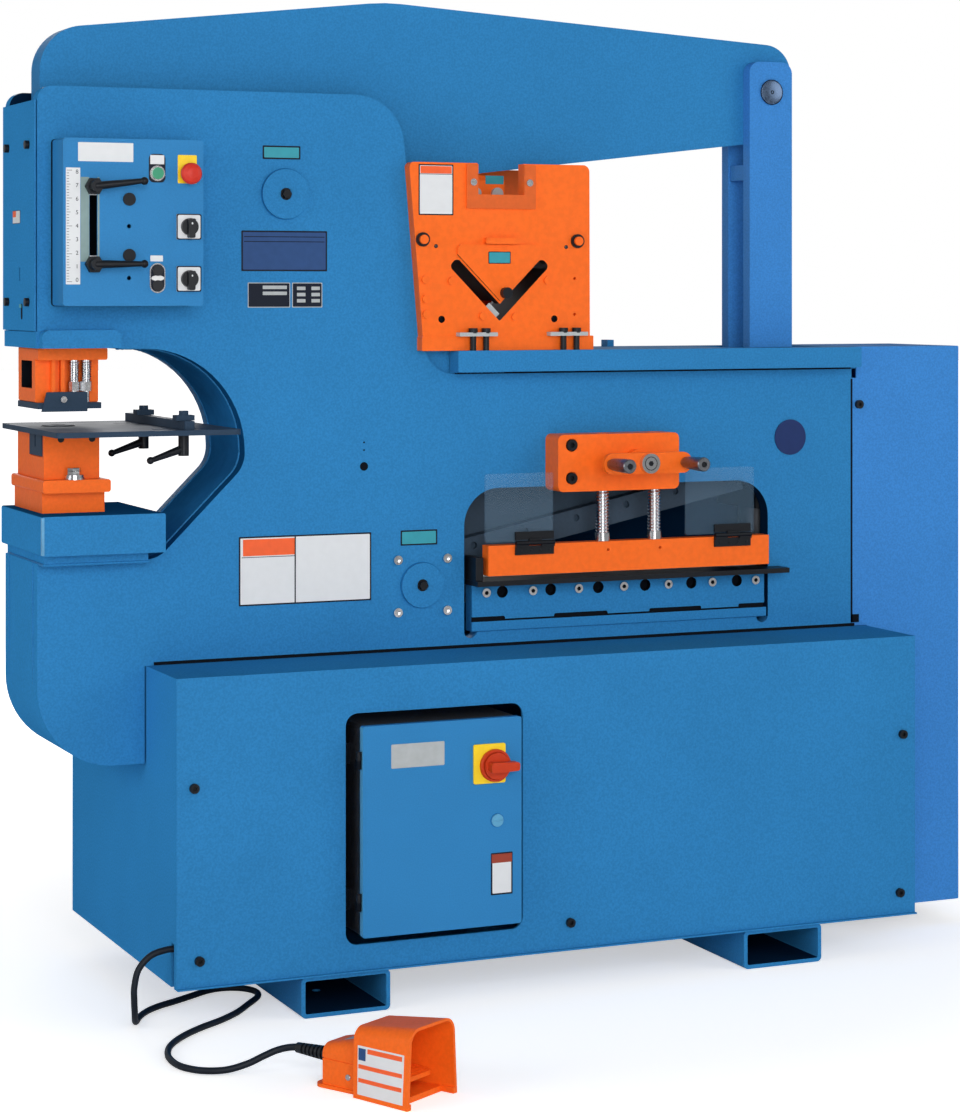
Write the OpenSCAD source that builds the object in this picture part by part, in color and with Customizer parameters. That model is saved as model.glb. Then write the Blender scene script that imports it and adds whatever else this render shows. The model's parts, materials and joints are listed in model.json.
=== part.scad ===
// Hydraulic ironworker: punch, angle shear and bar shear worked by one lift cylinder.
// X runs along the machine, Y from the operator to the back, Z up. The floor is Z = 0 and the
// origin is the centre of the four anchor holes in the skid tubes.

/* [Base] */
// Length of the base cabinet
base_len = 1580; // [1560:5:1640]
// Depth of the base cabinet, front to back
base_depth = 720; // [690:5:780]
// Height of the base cabinet
base_h = 570; // [540:5:600]
// Sheet thickness of the base cabinet
base_sheet = 6; // [4:1:8]
// Width of a skid tube
skid_w = 178; // [150:2:200]
// Height of a skid tube
skid_h = 77; // [60:1:100]
// Wall thickness of a skid tube
skid_wall = 8; // [5:1:10]
// Distance between the skid tubes, centre to centre
skid_pitch = 938; // [900:2:980]
// Distance between the two anchor holes of a tube
anchor_pitch = 400; // [360:5:420]
// Diameter of an anchor hole
anchor_d = 18; // [12:1:24]

/* [Frame] */
// Thickness of each frame plate
plate_t = 32; // [28:1:36]
// Width of the frame over both plates
frame_w = 244; // [236:2:260]
// Distance from the origin to the nose edge
nose_x = 1010; // [1000:2:1030]
// Height of the frame top above the throat
nose_h = 492; // [482:1:512]
// Height of the throat above the anvil bed
throat_h = 399; // [390:1:405]
// Depth of the throat from the nose edge
throat_depth = 406; // [400:1:415]
// Height of the anvil bed above the base cabinet
bed_h = 201; // [196:1:206]
// Height of the lower frame above the base cabinet
lower_h = 545; // [540:1:552]
// Thickness of the table top plate
table_t = 46; // [40:1:52]
// Room beside the blades in the bar shear window
blade_room = 26; // [24:1:30]
// Height of the bar shear window
window_h = 285; // [280:1:290]
// Thickness of the welded webs
web_t = 20; // [12:1:24]

/* [Levers] */
// Thickness of the two lever arms
arm_t = 64; // [58:1:68]
// Diameter of the pivot pins
pivot_d = 96; // [80:2:104]
// Thickness of a column strap
strap_t = 28; // [22:1:30]
// Width of a column strap
strap_w = 102; // [96:1:110]
// Diameter of the column pins
column_pin_d = 50; // [44:1:54]
// Diameter of the piston rod
rod_d = 80; // [60:2:90]
// Outer diameter of the lift cylinder
barrel_d = 150; // [130:2:160]

/* [Punch] */
// Diameter of the punch ram
ram_d = 100; // [90:1:104]
// Diameter of the punch
punch_d = 28; // [12:1:34]
// Width of the die holder
die_w = 107; // [100:1:114]
// Thickness of the punch table
table_plate_t = 10; // [8:1:14]
// Diameter of the die
die_d = 60; // [50:1:66]

/* [Shears] */
// Length of the bar shear blades
blade_len = 663; // [650:1:670]
// Height of a bar shear blade
blade_h = 50; // [46:1:54]
// Angle between the open bar shear blades, in degrees
blade_open = 11.8; // [11:0.1:12]
// Width of the angle slot
angle_slot = 24; // [20:1:26]
// Leg length of the angle slot
angle_leg = 154; // [148:1:156]
// Thickness of the angle shear front plate
angle_plate_t = 25; // [20:1:30]
// Height of the hold-down bar
hold_bar_h = 60; // [54:1:64]
// Thickness of the hold-down bar
hold_bar_t = 30; // [28:1:34]
// Diameter of the two lead screws
screw_d = 26; // [20:1:28]
// Thickness of the clear guards
guard_t = 6; // [4:1:8]

/* [Controls] */
// Width of the control box
box_w = 269; // [265:1:275]
// Height of the control box
box_h = 310; // [304:1:316]
// Depth of the control box
box_d = 84; // [70:1:90]
// Width of the electrical door
door_w = 325; // [320:1:328]
// Height of the electrical door
door_h = 395; // [390:1:400]
// Thickness of the electrical door
door_t = 14; // [10:1:18]

/* [Foot switch] */
// Width of the foot switch hood
hood_w = 130; // [124:1:140]
// Height of the foot switch hood
hood_h = 132; // [124:1:140]
// Diameter of the foot switch cable
cable_d = 12; // [10:1:13]

/* [Hidden] */

blue = "#3f86c6";
dark_blue = "#20394f";
orange = "#ff6a20";
steel = "#b9bcc0";
black = "#1b1c1e";
clear = [0.8, 0.9, 0.95, 0.4];

$fn = 48;
seat = 0.3;         // gap between a piece and its seat
fit = 0.05;         // radial clearance of a running fit

// Base
base_x0 = -800;
base_x1 = base_x0 + base_len;
base_y = base_depth / 2;
base_z = skid_h + base_h;

// Frame planes
frame_yc = -46;
front_y = frame_yc - frame_w / 2;
back_y = frame_yc + frame_w / 2;
inner_y0 = front_y + plate_t;
inner_y1 = back_y - plate_t;
frame_x1 = base_x1 - 35;
bed_z = base_z + bed_h;
throat_z = bed_z + throat_h;
throat_x = -nose_x + throat_depth;
frame_top = throat_z + nose_h;
plate_z = base_z + lower_h;
table_z = plate_z + table_t;
nose_low_z = base_z - 184;
shoulder_x = -285;  // where the frame top meets the slanted shoulder

// Pivots and links
arm_z = throat_z + 296;
arm_pivot = [-522, arm_z];
arm_edge = [[-270, arm_z + 28], [base_x1 - 180, arm_z + 130]];  // lower edge of the arm
shear_pivot = [-237, base_z + 129];
column_x = base_x1 - 195;
column_top_z = arm_z + 232;
column_low_z = base_z + 403;
trunnion_z = skid_h + 143;
column_gap = 1;
access_x = column_x + 11;
access_r = 37;
piston_z = trunnion_z + 264;
piston_h = 50;
barrel_top = base_z + 53;
barrel_wall = 15;
link_slack = 6;     // radial clearance at the open pivot of the linkage
arm_y0 = frame_yc - arm_t / 2;
arm_y1 = frame_yc + arm_t / 2;
strap_y0 = arm_y0 - column_gap - strap_t;
strap_y1 = arm_y1 + column_gap;
clevis_t = 22;
clevis_y0 = strap_y0 - 1 - clevis_t;
clevis_y1 = strap_y1 + strap_t + 1 + clevis_t;

// Punch station
punch_x = -938;
nose_block_h = 33;
nose_block_x1 = -855;
anvil_top = bed_z + 92;
die_top = anvil_top + 160;
bolster_z = anvil_top + 39;
table_plate_z = die_top - 2 - table_plate_t;
stripper_z = throat_z - 101;
fence_x = -752;
fence_w = 20;
clamp_y = [-250, 10];

// Bar shear
window_x0 = -146;
window_len = blade_len + blade_room;
window_z0 = base_z + 31;
holder_x0 = -129;
holder_bolt_z = base_z + 108;
shear_z = base_z + 136;
exit_z = [shear_z - 55, shear_z + 35];
feed_t = 10;
blade_t = 25;
blade_y = inner_y0 + blade_t + 0.5;
hold_x = 203;
hold_y = -198;
hold_z = shear_z + 9;
screw_pitch = 117;
gear_x = [32, 303];
gear_z = [base_z + 308, base_z + 422];
gear_y = -228;
crank_z = base_z + 365;
crank_arm = 98;
grip_r = 82;
guard_h = 138;
guard_w = [147, 158];
guard_x = [-119, 327];
hinge_x = [-56, 391];

// Angle shear
angle_x = -80;
angle_apex_z = table_z + 58;
angle_y = front_y - angle_plate_t;
guard_bolts = [[-246, table_z + 219], [90, table_z + 218]];
ram_plate_t = 40;
ram_plate_w = 210;
pad_r = 100;
angle_top_z = table_z + 371;

// Electrical door
door_x0 = -450;
door_z0 = skid_h + 71;
handle_at = [-183, door_z0 + 306];
latch_at = [-176, door_z0 + 200];
hinge_at = [door_x0 - 5, -base_y - 30];
opening_gap = 20;
hinge_z = [door_z0 + 50, door_z0 + door_h - 80];
rim_y = -base_y - 23;

// Control box
box_x0 = -983;
box_z0 = throat_z + 81;
box_y = front_y - box_d;
slot_x = -926;
slot_z = [box_z0 + 77, box_z0 + 221];
button_x = [-804, -743];
button_z = box_z0 + 247;
jog_z = [box_z0 + 38, box_z0 + 66];
selector_z = [box_z0 + 50.5, box_z0 + 148];

// Foot switch: place of its rear centre on the floor and its heading
foot_pos = [-638, -763];
foot_turn = -59.7;
foot_len = 205;

// Route of the foot switch cable, from the base to the strain relief
cable_r = cable_d / 2;
cable_points = [[-792, -334, 148], [-811, -334, 148], [-841, -334, 140], [-864, -334, 117],
    [-872, -334, 86], [-872, -333, 62], [-868, -323, 36], [-861, -302, 15], [-850, -274, 7],
    [-834, -242, 6.5], [-810, -211, 6.5], [-780, -186, 6.5], [-742, -164, 6.5], [-702, -139, 6.5],
    [-664, -115, 6.5], [-635, -107, 6.5], [-606, -114, 6.5], [-585, -135, 6.5], [-578, -164, 6.5],
    [-588, -196, 6.5], [-623, -242, 6.5], [-660, -288, 6.5], [-704, -328, 6.5], [-756, -365, 6.5],
    [-804, -408, 6.5], [-842, -458, 6.5], [-863, -512, 6.5], [-868, -560, 6.5], [-861, -598, 6.5],
    [-838, -632, 7], [-802, -651, 9], [-766, -658, 17], [-736, -660, 28], [-714, -663, 36],
    [-696, -671, 41], [-684, -684, 44], [-679, -693, 44]];

// ---- helpers -------------------------------------------------------------

// Corner points: an arc of radius r tangent to both edges at p, or p itself
function arc_corner(a, p, b, r) =
    let (u = (a - p) / norm(a - p), v = (b - p) / norm(b - p), h = acos(u * v) / 2)
    r <= 0 || h > 89.5 ? [p] :
    let (t = r / tan(h), c = p + (u + v) / norm(u + v) * r / sin(h),
        p0 = p + u * t, p1 = p + v * t,
        a0 = atan2(p0[1] - c[1], p0[0] - c[0]), a1 = atan2(p1[1] - c[1], p1[0] - c[0]),
        d = ((a1 - a0 + 540) % 360) - 180, n = max(2, ceil(abs(d) / 6)))
    [for (i = [0:n]) c + r * [cos(a0 + d * i / n), sin(a0 + d * i / n)]];

// Outline from corners [x, z, radius]
function outline(q) = [for (i = [0:len(q) - 1])
    let (p = q[i], a = q[(i + len(q) - 1) % len(q)], b = q[(i + 1) % len(q)])
    each arc_corner([a[0], a[1]], [p[0], p[1]], [b[0], b[1]], p[2])];

// A plate standing in the XZ plane between y0 and y1
module plate(q, y0, y1) {
    translate([0, y1, 0]) rotate([90, 0, 0]) linear_extrude(y1 - y0) polygon(outline(q));
}

// A round bar along Y
module pin_y(x, z, y0, y1, r, fn = 48) {
    translate([x, y1, z]) rotate([90, 0, 0]) cylinder(h = y1 - y0, r = r, $fn = fn);
}

// A box between two corners
module block(a, b) { translate(a) cube(b - a); }

// A socket head bolt along Y with its head face at y and its shank behind it
module bolt_y(x, z, y, r, head, shank) {
    difference() {
        union() {
            pin_y(x, z, y, y + head, r, 24);
            pin_y(x, z, y + head - 0.1, y + head + shank, r * 0.55, 24);
        }
        pin_y(x, z, y - 1, y + head * 0.6, r * 0.5, 6);
    }
}

// A rounded box along Y: the rounded face lies in XZ
module slab(x0, x1, z0, z1, y0, y1, r) {
    plate([[x0, z0, r], [x1, z0, r], [x1, z1, r], [x0, z1, r]], y0, y1);
}

// ---- base ----------------------------------------------------------------

module skid_tubes() {
    color(blue) for (s = [-1, 1]) difference() {
        translate([s * skid_pitch / 2, base_y, 0]) rotate([90, 0, 0])
            linear_extrude(base_depth) difference() {
                polygon(outline([[-skid_w / 2, 0, 10], [skid_w / 2, 0, 10],
                    [skid_w / 2, skid_h, 10], [-skid_w / 2, skid_h, 10]]));
                polygon(outline([[-skid_w / 2 + skid_wall, skid_wall, 4],
                    [skid_w / 2 - skid_wall, skid_wall, 4],
                    [skid_w / 2 - skid_wall, skid_h - skid_wall, 4],
                    [-skid_w / 2 + skid_wall, skid_h - skid_wall, 4]]));
            }
        for (t = [-1, 1]) translate([s * skid_pitch / 2, t * anchor_pitch / 2, -1])
            cylinder(h = skid_wall + 2, d = anchor_d);
    }
}

module base_cabinet() {
    s = base_sheet;
    color(blue) difference() {
        block([base_x0, -base_y + s, skid_h], [base_x1, base_y, base_z]);
        block([base_x0 + s, -base_y + 4 * s, skid_h + s], [base_x1 - s, base_y - s, base_z - s]);
        block([base_x0 + 7 * s, -base_y, skid_h + 7 * s],
            [base_x1 - 7 * s, -base_y + 5 * s, base_z - 7 * s]);
        // lift cylinder passes the top sheet
        block([column_x - 110, frame_yc - 92, base_z - 2 * s], [column_x + 110, frame_yc + 92, base_z + 1]);
        // cable slit in the left side
        block([base_x0 - 1, -345, skid_h - 1], [base_x0 + 2 * s, -334 + cable_r + seat, skid_h + 82]);
        // louvres at the back
        for (i = [-3:3]) translate([0, 0, skid_h + base_h / 2 - 60 + i * 30])
            block([-60, base_y - s - 1, 0], [260, base_y + 1, 10]);
    }
    color(blue) {
        // posts for the electrical box
        for (x = [door_x0 - 55, door_x0 + door_w + 30])
            block([x, -base_y + s, skid_h + s], [x + 25, -base_y + 32 - seat, base_z - s]);
        // cheeks and pin that carry the lift cylinder
        for (y = [frame_yc - 31 - 16, frame_yc + 31])
            plate([[column_x - 60, skid_h + s, 0], [column_x + 60, skid_h + s, 0],
                [column_x + 42, trunnion_z + 42, 40], [column_x - 42, trunnion_z + 42, 40]], y, y + 16);
        pin_y(column_x, trunnion_z, frame_yc - 50, frame_yc + 50, 20);
    }
}

module base_front_panel() {
    s = base_sheet;
    color(blue) difference() {
        union() {
            block([base_x0, -base_y, skid_h], [base_x1, -base_y + s - seat, base_z]);
            block([base_x0, -base_y - 8, skid_h], [base_x1, -base_y + s - seat, skid_h + 3]);
        }
        slab(door_x0 - opening_gap, door_x0 + door_w + opening_gap, door_z0 - opening_gap,
            door_z0 + door_h + opening_gap, -base_y - 1, -base_y + s, 24);
    }
}

module electrical_box() {
    x1 = door_x0 + door_w;
    z1 = door_z0 + door_h;
    color(blue) difference() {
        union() {
            slab(door_x0 + 1, x1 - 1, door_z0 + 1, z1 - 1, rim_y, -base_y + 200, 6);
            // ears that bolt the box to the back of the cabinet frame
            block([door_x0 - 55, -base_y + 32, door_z0 + 40], [x1 + 55, -base_y + 36, door_z0 + 80]);
            block([door_x0 - 55, -base_y + 32, z1 - 80], [x1 + 55, -base_y + 36, z1 - 40]);
        }
        slab(door_x0 + 4, x1 - 4, door_z0 + 4, z1 - 4, rim_y - 1, -base_y + 196, 4);
    }
    // fixed hinge knuckles with their pins
    color(blue) for (z = hinge_z) translate([hinge_at[0], hinge_at[1], z]) {
        cylinder(h = 16, r = 4.5, $fn = 32);
        cylinder(h = 30, r = 2, $fn = 32);
        block([-2, 0, 0], [2, 14, 16]);
        block([-2, 10, 0], [6.5, 14, 16]);
    }
    // mounting plate with contactor, transformer and terminal rail
    color(steel) block([door_x0 + 25, -base_y + 188, door_z0 + 25], [x1 - 25, -base_y + 196, z1 - 25]);
    color(black) {
        for (i = [0:2]) translate([door_x0 + 45 + i * 62, -base_y + 100, z1 - 130]) cube([50, 88, 80]);
        block([door_x0 + 50, -base_y + 110, door_z0 + 45], [door_x0 + 150, -base_y + 188, door_z0 + 125]);
        for (i = [0:8])
            translate([door_x0 + 170 + i * 13, -base_y + 150, door_z0 + 150]) cube([11, 38, 50]);
    }
}

module power_unit() {
    z0 = skid_h + base_sheet;
    // oil tank
    color(dark_blue) block([-60, -130, z0], [340, 250, z0 + 330]);
    // foot-mounted motor with its fan cowl, and the gear pump on its end
    color(steel) {
        translate([-310, 60, z0 + 120]) rotate([0, 90, 0]) {
            cylinder(h = 200, r = 92);
            translate([0, 0, 190]) cylinder(h = 40, r = 98);
        }
        block([-290, -20, z0], [-140, 140, z0 + 60]);
        block([-400, 15, z0 + 75], [-300, 105, z0 + 165]);
    }
}

// ---- frame ---------------------------------------------------------------

frame_corners = [
    [base_x0 - 3, nose_low_z, 0], [-nose_x, nose_low_z, 150], [-nose_x, bed_z, 0],
    [throat_x - throat_h + 226, bed_z, 60], [throat_x, bed_z + 173, 60], [throat_x, throat_z, 199],
    [nose_block_x1, throat_z, 0], [nose_block_x1, throat_z + nose_block_h, 0],
    [-nose_x, throat_z + nose_block_h, 0], [-nose_x, frame_top, 28], [shoulder_x, frame_top, 100],
    [-224, plate_z, 62], [frame_x1, plate_z, 0], [frame_x1, base_z, 0], [base_x0 - 3, base_z, 0]];

module window_cut(y0, y1) {
    x1 = window_x0 + window_len;
    slab(window_x0, x1, window_z0 + 24, window_z0 + window_h, y0, y1, 75);
    block([window_x0, y0, window_z0], [x1, y1, window_z0 + 120]);
    for (x = [window_x0 + 14, x1 - 14]) pin_y(x, window_z0 + 2, y0, y1, 14);
}

module frame_plate(y0, y1) {
    difference() {
        plate(frame_corners, y0, y1);
        pin_y(arm_pivot[0], arm_pivot[1], y0 - 1, y1 + 1, pivot_d / 2 + fit);
        pin_y(shear_pivot[0], shear_pivot[1], y0 - 1, y1 + 1, pivot_d / 2 - 4 + fit);
    }
}

module front_plate() {
    color(blue) difference() {
        frame_plate(front_y, inner_y0);
        window_cut(front_y - 1, inner_y0 + 1);
        // access hole to the lower column pin
        pin_y(access_x, column_low_z, front_y - 1, inner_y0 + 1, access_r, 64);
        pin_y(-359, bed_z + 165, front_y - 1, front_y + 12, 5, 24);
        // slot behind the stroke control
        block([slot_x - 8, front_y - 1, slot_z[0] - 25], [slot_x + 8, inner_y0 + 1, slot_z[1] + 25]);
    }
}

module back_plate() {
    color(blue) difference() {
        frame_plate(inner_y1, back_y);
        // exit of the sheared bar
        slab(window_x0, window_x0 + window_len, exit_z[0], exit_z[1], inner_y1 - 1, back_y + 1, 12);
    }
}

module frame_webs() {
    color(blue) {
        // web along the throat, from the nose to the bed
        plate([[-868 + 13, throat_z, 0], [throat_x, throat_z, 199], [throat_x, bed_z + 173, 60],
                [throat_x - throat_h + 226, bed_z, 60], [throat_x - throat_h + 226 - 60, bed_z, 0],
                [throat_x - throat_h + 226 - 60, bed_z - web_t - 4, 0],
                [throat_x - throat_h + 226 + 10, bed_z - web_t - 4, 70],
                [throat_x + web_t + 4, bed_z + 165, 70], [throat_x + web_t + 4, throat_z + web_t + 4, 218],
            [-868 + 13, throat_z + web_t + 4, 0]], inner_y0, inner_y1);
        // web that closes the lower nose
        plate([[-nose_x, bed_z, 0], [-nose_x, nose_low_z, 150], [base_x0 - 3, nose_low_z, 0],
            [base_x0 - 3, nose_low_z + web_t, 0], [-nose_x + web_t, nose_low_z + web_t, 130],
            [-nose_x + web_t, bed_z, 0]], inner_y0, inner_y1);
        // bulkhead behind the throat
        block([-470, inner_y0, base_z], [-470 + web_t, inner_y1, throat_z + 133]);
        // end web at the column
        block([frame_x1 - web_t, inner_y0, base_z], [frame_x1, inner_y1, plate_z]);
        // table top, with the slot for the column
        difference() {
            union() {
                slab(-164, 757, plate_z, table_z, front_y, back_y + 10, 3);
                // front bar
                slab(-177, 743, plate_z + 4, table_z, front_y - 44, front_y + 1, 3);
            }
            block([470, clevis_y0 - 3, plate_z - 1], [697, clevis_y1 + 3, table_z + 1]);
            // drop opening below the angle shear
            block([-190, -66, plate_z - 1], [40, 60, table_z + 1]);
        }
        block([281, back_y - 20, table_z - 1], [296, back_y + 10, table_z + 14]);
    }
}

module anvil_block() {
    color(blue) union() {
        slab(-nose_x - 8, punch_x + 157, bed_z + 19, anvil_top, front_y - 64, back_y, 4);
        block([-nose_x + 4, front_y - 34, bed_z], [punch_x + 132, back_y, bed_z + 20]);
    }
}

module ram_housing() {
    color(blue) difference() {
        union() {
            block([-nose_x - 2, front_y, throat_z + 2],
                [nose_block_x1 - seat, back_y, throat_z + nose_block_h - seat]);
            plate([[-nose_x + 3, throat_z + 2, 2], [nose_block_x1 - seat, throat_z + 2, 2],
                [nose_block_x1 - seat, throat_z + nose_block_h + 3, 14],
                [-nose_x + 3, throat_z + nose_block_h + 3, 14]], front_y - 27, front_y + 0.01);
            block([-1000, inner_y0 + seat, throat_z + 2], [-868, inner_y1 - seat, throat_z + 193]);
        }
        translate([punch_x, frame_yc, throat_z - 10]) cylinder(h = 260, r = ram_d / 2 + fit);
    }
}

module nose_cover() {
    x = -nose_x - 5;
    z0 = throat_z + nose_block_h + 1;
    color(blue) difference() {
        union() {
            block([x, front_y + 2, z0], [x + 3, back_y, frame_top - 27]);
            block([x, inner_y0 + seat, frame_top - 30], [x + 12, inner_y1 - seat, frame_top - 27]);
            for (z = [z0 + 20, frame_top - 59]) for (y = [inner_y0, inner_y1 - 24])
                block([x + 2, y, z], [-1001, y + 24, z + 24]);
        }
        block([x - 1, -60, throat_z + 128], [x + 4, -50, throat_z + 153]);
    }
}

module column_housing() {
    t = 4;
    x0 = frame_x1 + 12;
    x1 = base_x1 + 232;
    color(blue) difference() {
        union() {
            slab(x0, x1, 48, table_z, front_y, back_y + 30, 3);
            block([frame_x1 + seat, front_y, base_z + 1], [x0 + 1, front_y + 3, table_z - 20 - table_t]);
        }
        block([x0 - 1, front_y + t, 48 - 1], [x1 - t, back_y + 30 - t, table_z - t]);
        // the cover is stepped over the end of the base cabinet
        block([x0 - 2, front_y - 1, 40], [base_x1 + 4, back_y + 31, base_z + 1]);
    }
    // inner leg down to the floor beside the base
    color(blue) difference() {
        block([base_x1 + 3, front_y, 48], [base_x1 + 8, back_y + 30, base_z + 2]);
        pin_y(base_x1 + 5, 130, front_y - 1, front_y + 12, 9, 24);
    }
}

// ---- angle shear ---------------------------------------------------------

// The slot that an angle passes through, corner down
module v_slot(y0, y1, w, leg) {
    a = leg / sqrt(2);
    h = w * sqrt(2);
    plate([[angle_x, angle_apex_z, 3], [angle_x + a, angle_apex_z + a, 10],
        [angle_x + a - w / sqrt(2), angle_apex_z + a + w / sqrt(2), 10],
        [angle_x, angle_apex_z + h, 2],
        [angle_x - a + w / sqrt(2), angle_apex_z + a + w / sqrt(2), 10],
        [angle_x - a, angle_apex_z + a, 10]], y0, y1);
}

module angle_shear_plate() {
    y0 = angle_y;
    y1 = front_y;
    t = table_z;
    color(orange) {
        difference() {
            union() {
                plate([[-245, table_z + 28, 0], [119, table_z + 28, 0], [118, angle_top_z, 14],
                    [-274, angle_top_z, 10]], y0, y1);
                // ledge along the bottom
                slab(-247, 126, table_z, table_z + 28, y0 - 2, y1, 2);
                // raised guard over the slot and its hand bar
                plate([[-172, t + 210, 10], [14, t + 210, 10], [14, t + 192, 0], [angle_x, t + 98, 0],
                    [-172, t + 190, 0]], y0 - 4, y0 + 1);
                slab(-115, -42, t + 211, t + 223, y0 - 14, y0 + 1, 4);
                // frame round the notch
                slab(-153, -3, t + 281, angle_top_z - 2, y0 - 5, y0 + 1, 2);
                for (p = guard_bolts) pin_y(p[0], p[1], y0 - 12, y0 + 1, 9);
                for (p = [[-240, 140], [-184, 137], [24, 139], [-117, 68], [-47, 66], [-238, 72],
                    [-239, 102]]) pin_y(p[0], t + p[1], y0 - 5, y0 + 1, 8, 24);
            }
            slab(-128, -28, t + 309, angle_top_z + 20, y0 - 20, y1 + 1, 0);
            v_slot(y0 - 20, y1 + 1, angle_slot, angle_leg);
            for (x = [-205, 40]) pin_y(x, t + 62, y0 - 1, y1 + 1, 7, 24);
            for (z = [t + 71, t + 143]) pin_y(85, z, y0 - 1, y0 + 12, 3, 16);
        }
    }
}

// Guides of the angle ram, holder of the lower V blades and the rear plate
module angle_blade_block() {
    color(orange) {
        for (x = [[-222, angle_x - ram_plate_w / 2 - seat], [angle_x + ram_plate_w / 2 + seat, 112]])
            block([x[0], front_y + 0.01, table_z], [x[1], back_y, table_z + 257]);
        // holder of the lower V blade
        difference() {
            block([angle_x - ram_plate_w / 2 - seat, front_y + 0.01, table_z],
                [angle_x + ram_plate_w / 2 + seat, -67, table_z + 202]);
            v_slot(front_y - 1, -66, angle_slot + 4, angle_leg + 4);
            v_blades(0.05);
        }
        // rear plate
        difference() {
            plate([[-268, table_z, 0], [112, table_z, 0], [112, angle_top_z, 14], [-268, angle_top_z, 10]],
                back_y, back_y + angle_plate_t);
            v_slot(back_y - 1, back_y + angle_plate_t + 1, angle_slot + 6, angle_leg + 6);
        }
    }
}

module fixed_blades() {
    a = angle_leg / sqrt(2);
    color(steel) {
        // lower bar shear blade
        difference() {
            translate([holder_x0, inner_y0, shear_z - blade_h]) cube([blade_len, blade_t, blade_h]);
            for (i = [0:5]) pin_y(holder_x0 + 60 + i * (blade_len - 120) / 5, shear_z - blade_h / 2,
                inner_y0 - 1, inner_y0 + blade_t + 1, 7, 24);
        }
        // lower V blades, set in the holder of the angle shear
        v_blades(0);
    }
}

// The two lower V blades, or their pocket when grown by g
module v_blades(g) {
    for (s = [0, 1]) translate([angle_x, 0, angle_apex_z]) rotate([0, s * 90 - 45, 0])
        translate([s * -160 + 24 - g, -80 - g, -12 - g]) cube([112 + 2 * g, 13 + 2 * g, 12 + g]);
}

module angle_ram() {
    w = ram_plate_w - 2 * seat;
    x0 = angle_x - w / 2;
    x1 = angle_x + w / 2;
    low = angle_apex_z + (angle_slot + 8) * sqrt(2) + 4;
    // height of the arm's lower edge over the ram, and its slope
    slope = atan((arm_edge[1][1] - arm_edge[0][1]) / (arm_edge[1][0] - arm_edge[0][0]));
    edge_z = arm_edge[0][1] + (angle_x - arm_edge[0][0]) * tan(slope);
    pad_z = edge_z - (pad_r + seat) / cos(slope);
    color(orange) {
        plate([[angle_x, low, 0], [x1, low + w / 2, 0], [x1, table_z + 277, 8],
            [angle_x + 56, table_z + 322, 0], [angle_x - 56, table_z + 322, 0],
            [x0, table_z + 277, 8], [x0, low + w / 2, 0]],
            frame_yc - ram_plate_t / 2, frame_yc + ram_plate_t / 2);
        // rounded pad that the arm presses on
        intersection() {
            pin_y(angle_x, pad_z, frame_yc - ram_plate_t / 2, frame_yc + ram_plate_t / 2, pad_r, 180);
            block([angle_x - 52, -200, table_z + 302], [angle_x + 52, 200, table_z + 462]);
        }
        // head in the notch of the front plate
        slab(angle_x - 44, angle_x + 44, table_z + 286, table_z + 340, -118, frame_yc, 4);
    }
    color(steel) for (x = [angle_x - 22, angle_x + 26]) pin_y(x, table_z + 314, -126, -118 - 0.05, 12, 32);
}

module angle_stop_clamps() {
    y = angle_y - 11;
    color(black) for (x = [[-142, -114], [55, 84]]) {
        for (i = [0, 1]) translate([x[i], y, table_z + seat]) {
            cylinder(h = 44, r = 6, $fn = 24);
            translate([0, 0, 34]) cylinder(h = 10, r = 9, $fn = 24);
        }
        difference() {
            slab(x[0] - 32, x[1] + 22, table_z + 28 + seat, table_z + 36, y - 8, angle_y - seat, 1);
            for (i = [0, 1]) translate([x[i], y, table_z]) cylinder(h = 60, r = 6, $fn = 24);
        }
    }
}

// ---- bar shear -----------------------------------------------------------

module blade_holder() {
    x1 = holder_x0 + blade_len;
    z1 = shear_z - feed_t - 1;
    color(blue) difference() {
        union() {
            block([holder_x0, front_y, window_z0 + seat], [x1, inner_y0 - 0.05, z1]);
            block([holder_x0 - 2, front_y - 5, window_z0 + 2], [x1 + 2, front_y + 1, window_z0 + 20]);
        }
        block([holder_x0 - 3, front_y - 6, window_z0 + 20], [x1 + 3, front_y + 4, window_z0 + 23]);
        for (i = [0:5]) pin_y(holder_x0 + 66 + i * 106.5, holder_bolt_z, front_y - 6, front_y + 14, 12, 32);
        for (i = [0:6])
            pin_y(holder_x0 + 29 + i * 101.8, holder_bolt_z, front_y - 6, front_y + 20, 5.1, 24);
        // scalloped gap above the lower strip
        for (x = [[-6, 72], [180, 300], [395, 515], [602, blade_len + 6]])
            slab(holder_x0 + x[0], holder_x0 + x[1], window_z0 + 20, window_z0 + 29,
                front_y - 6, front_y + 4, 4);
    }
    // feed plate in front of the lower blade
    color(black) {
        block([holder_x0 - 8, hold_y - hold_bar_t / 2 - 2, z1], [x1 + 6, inner_y0 - 0.05, z1 + feed_t]);
        block([x1, hold_y - hold_bar_t / 2 - 2, z1], [x1 + 34, front_y - seat, z1 + feed_t]);
    }
}

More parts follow.
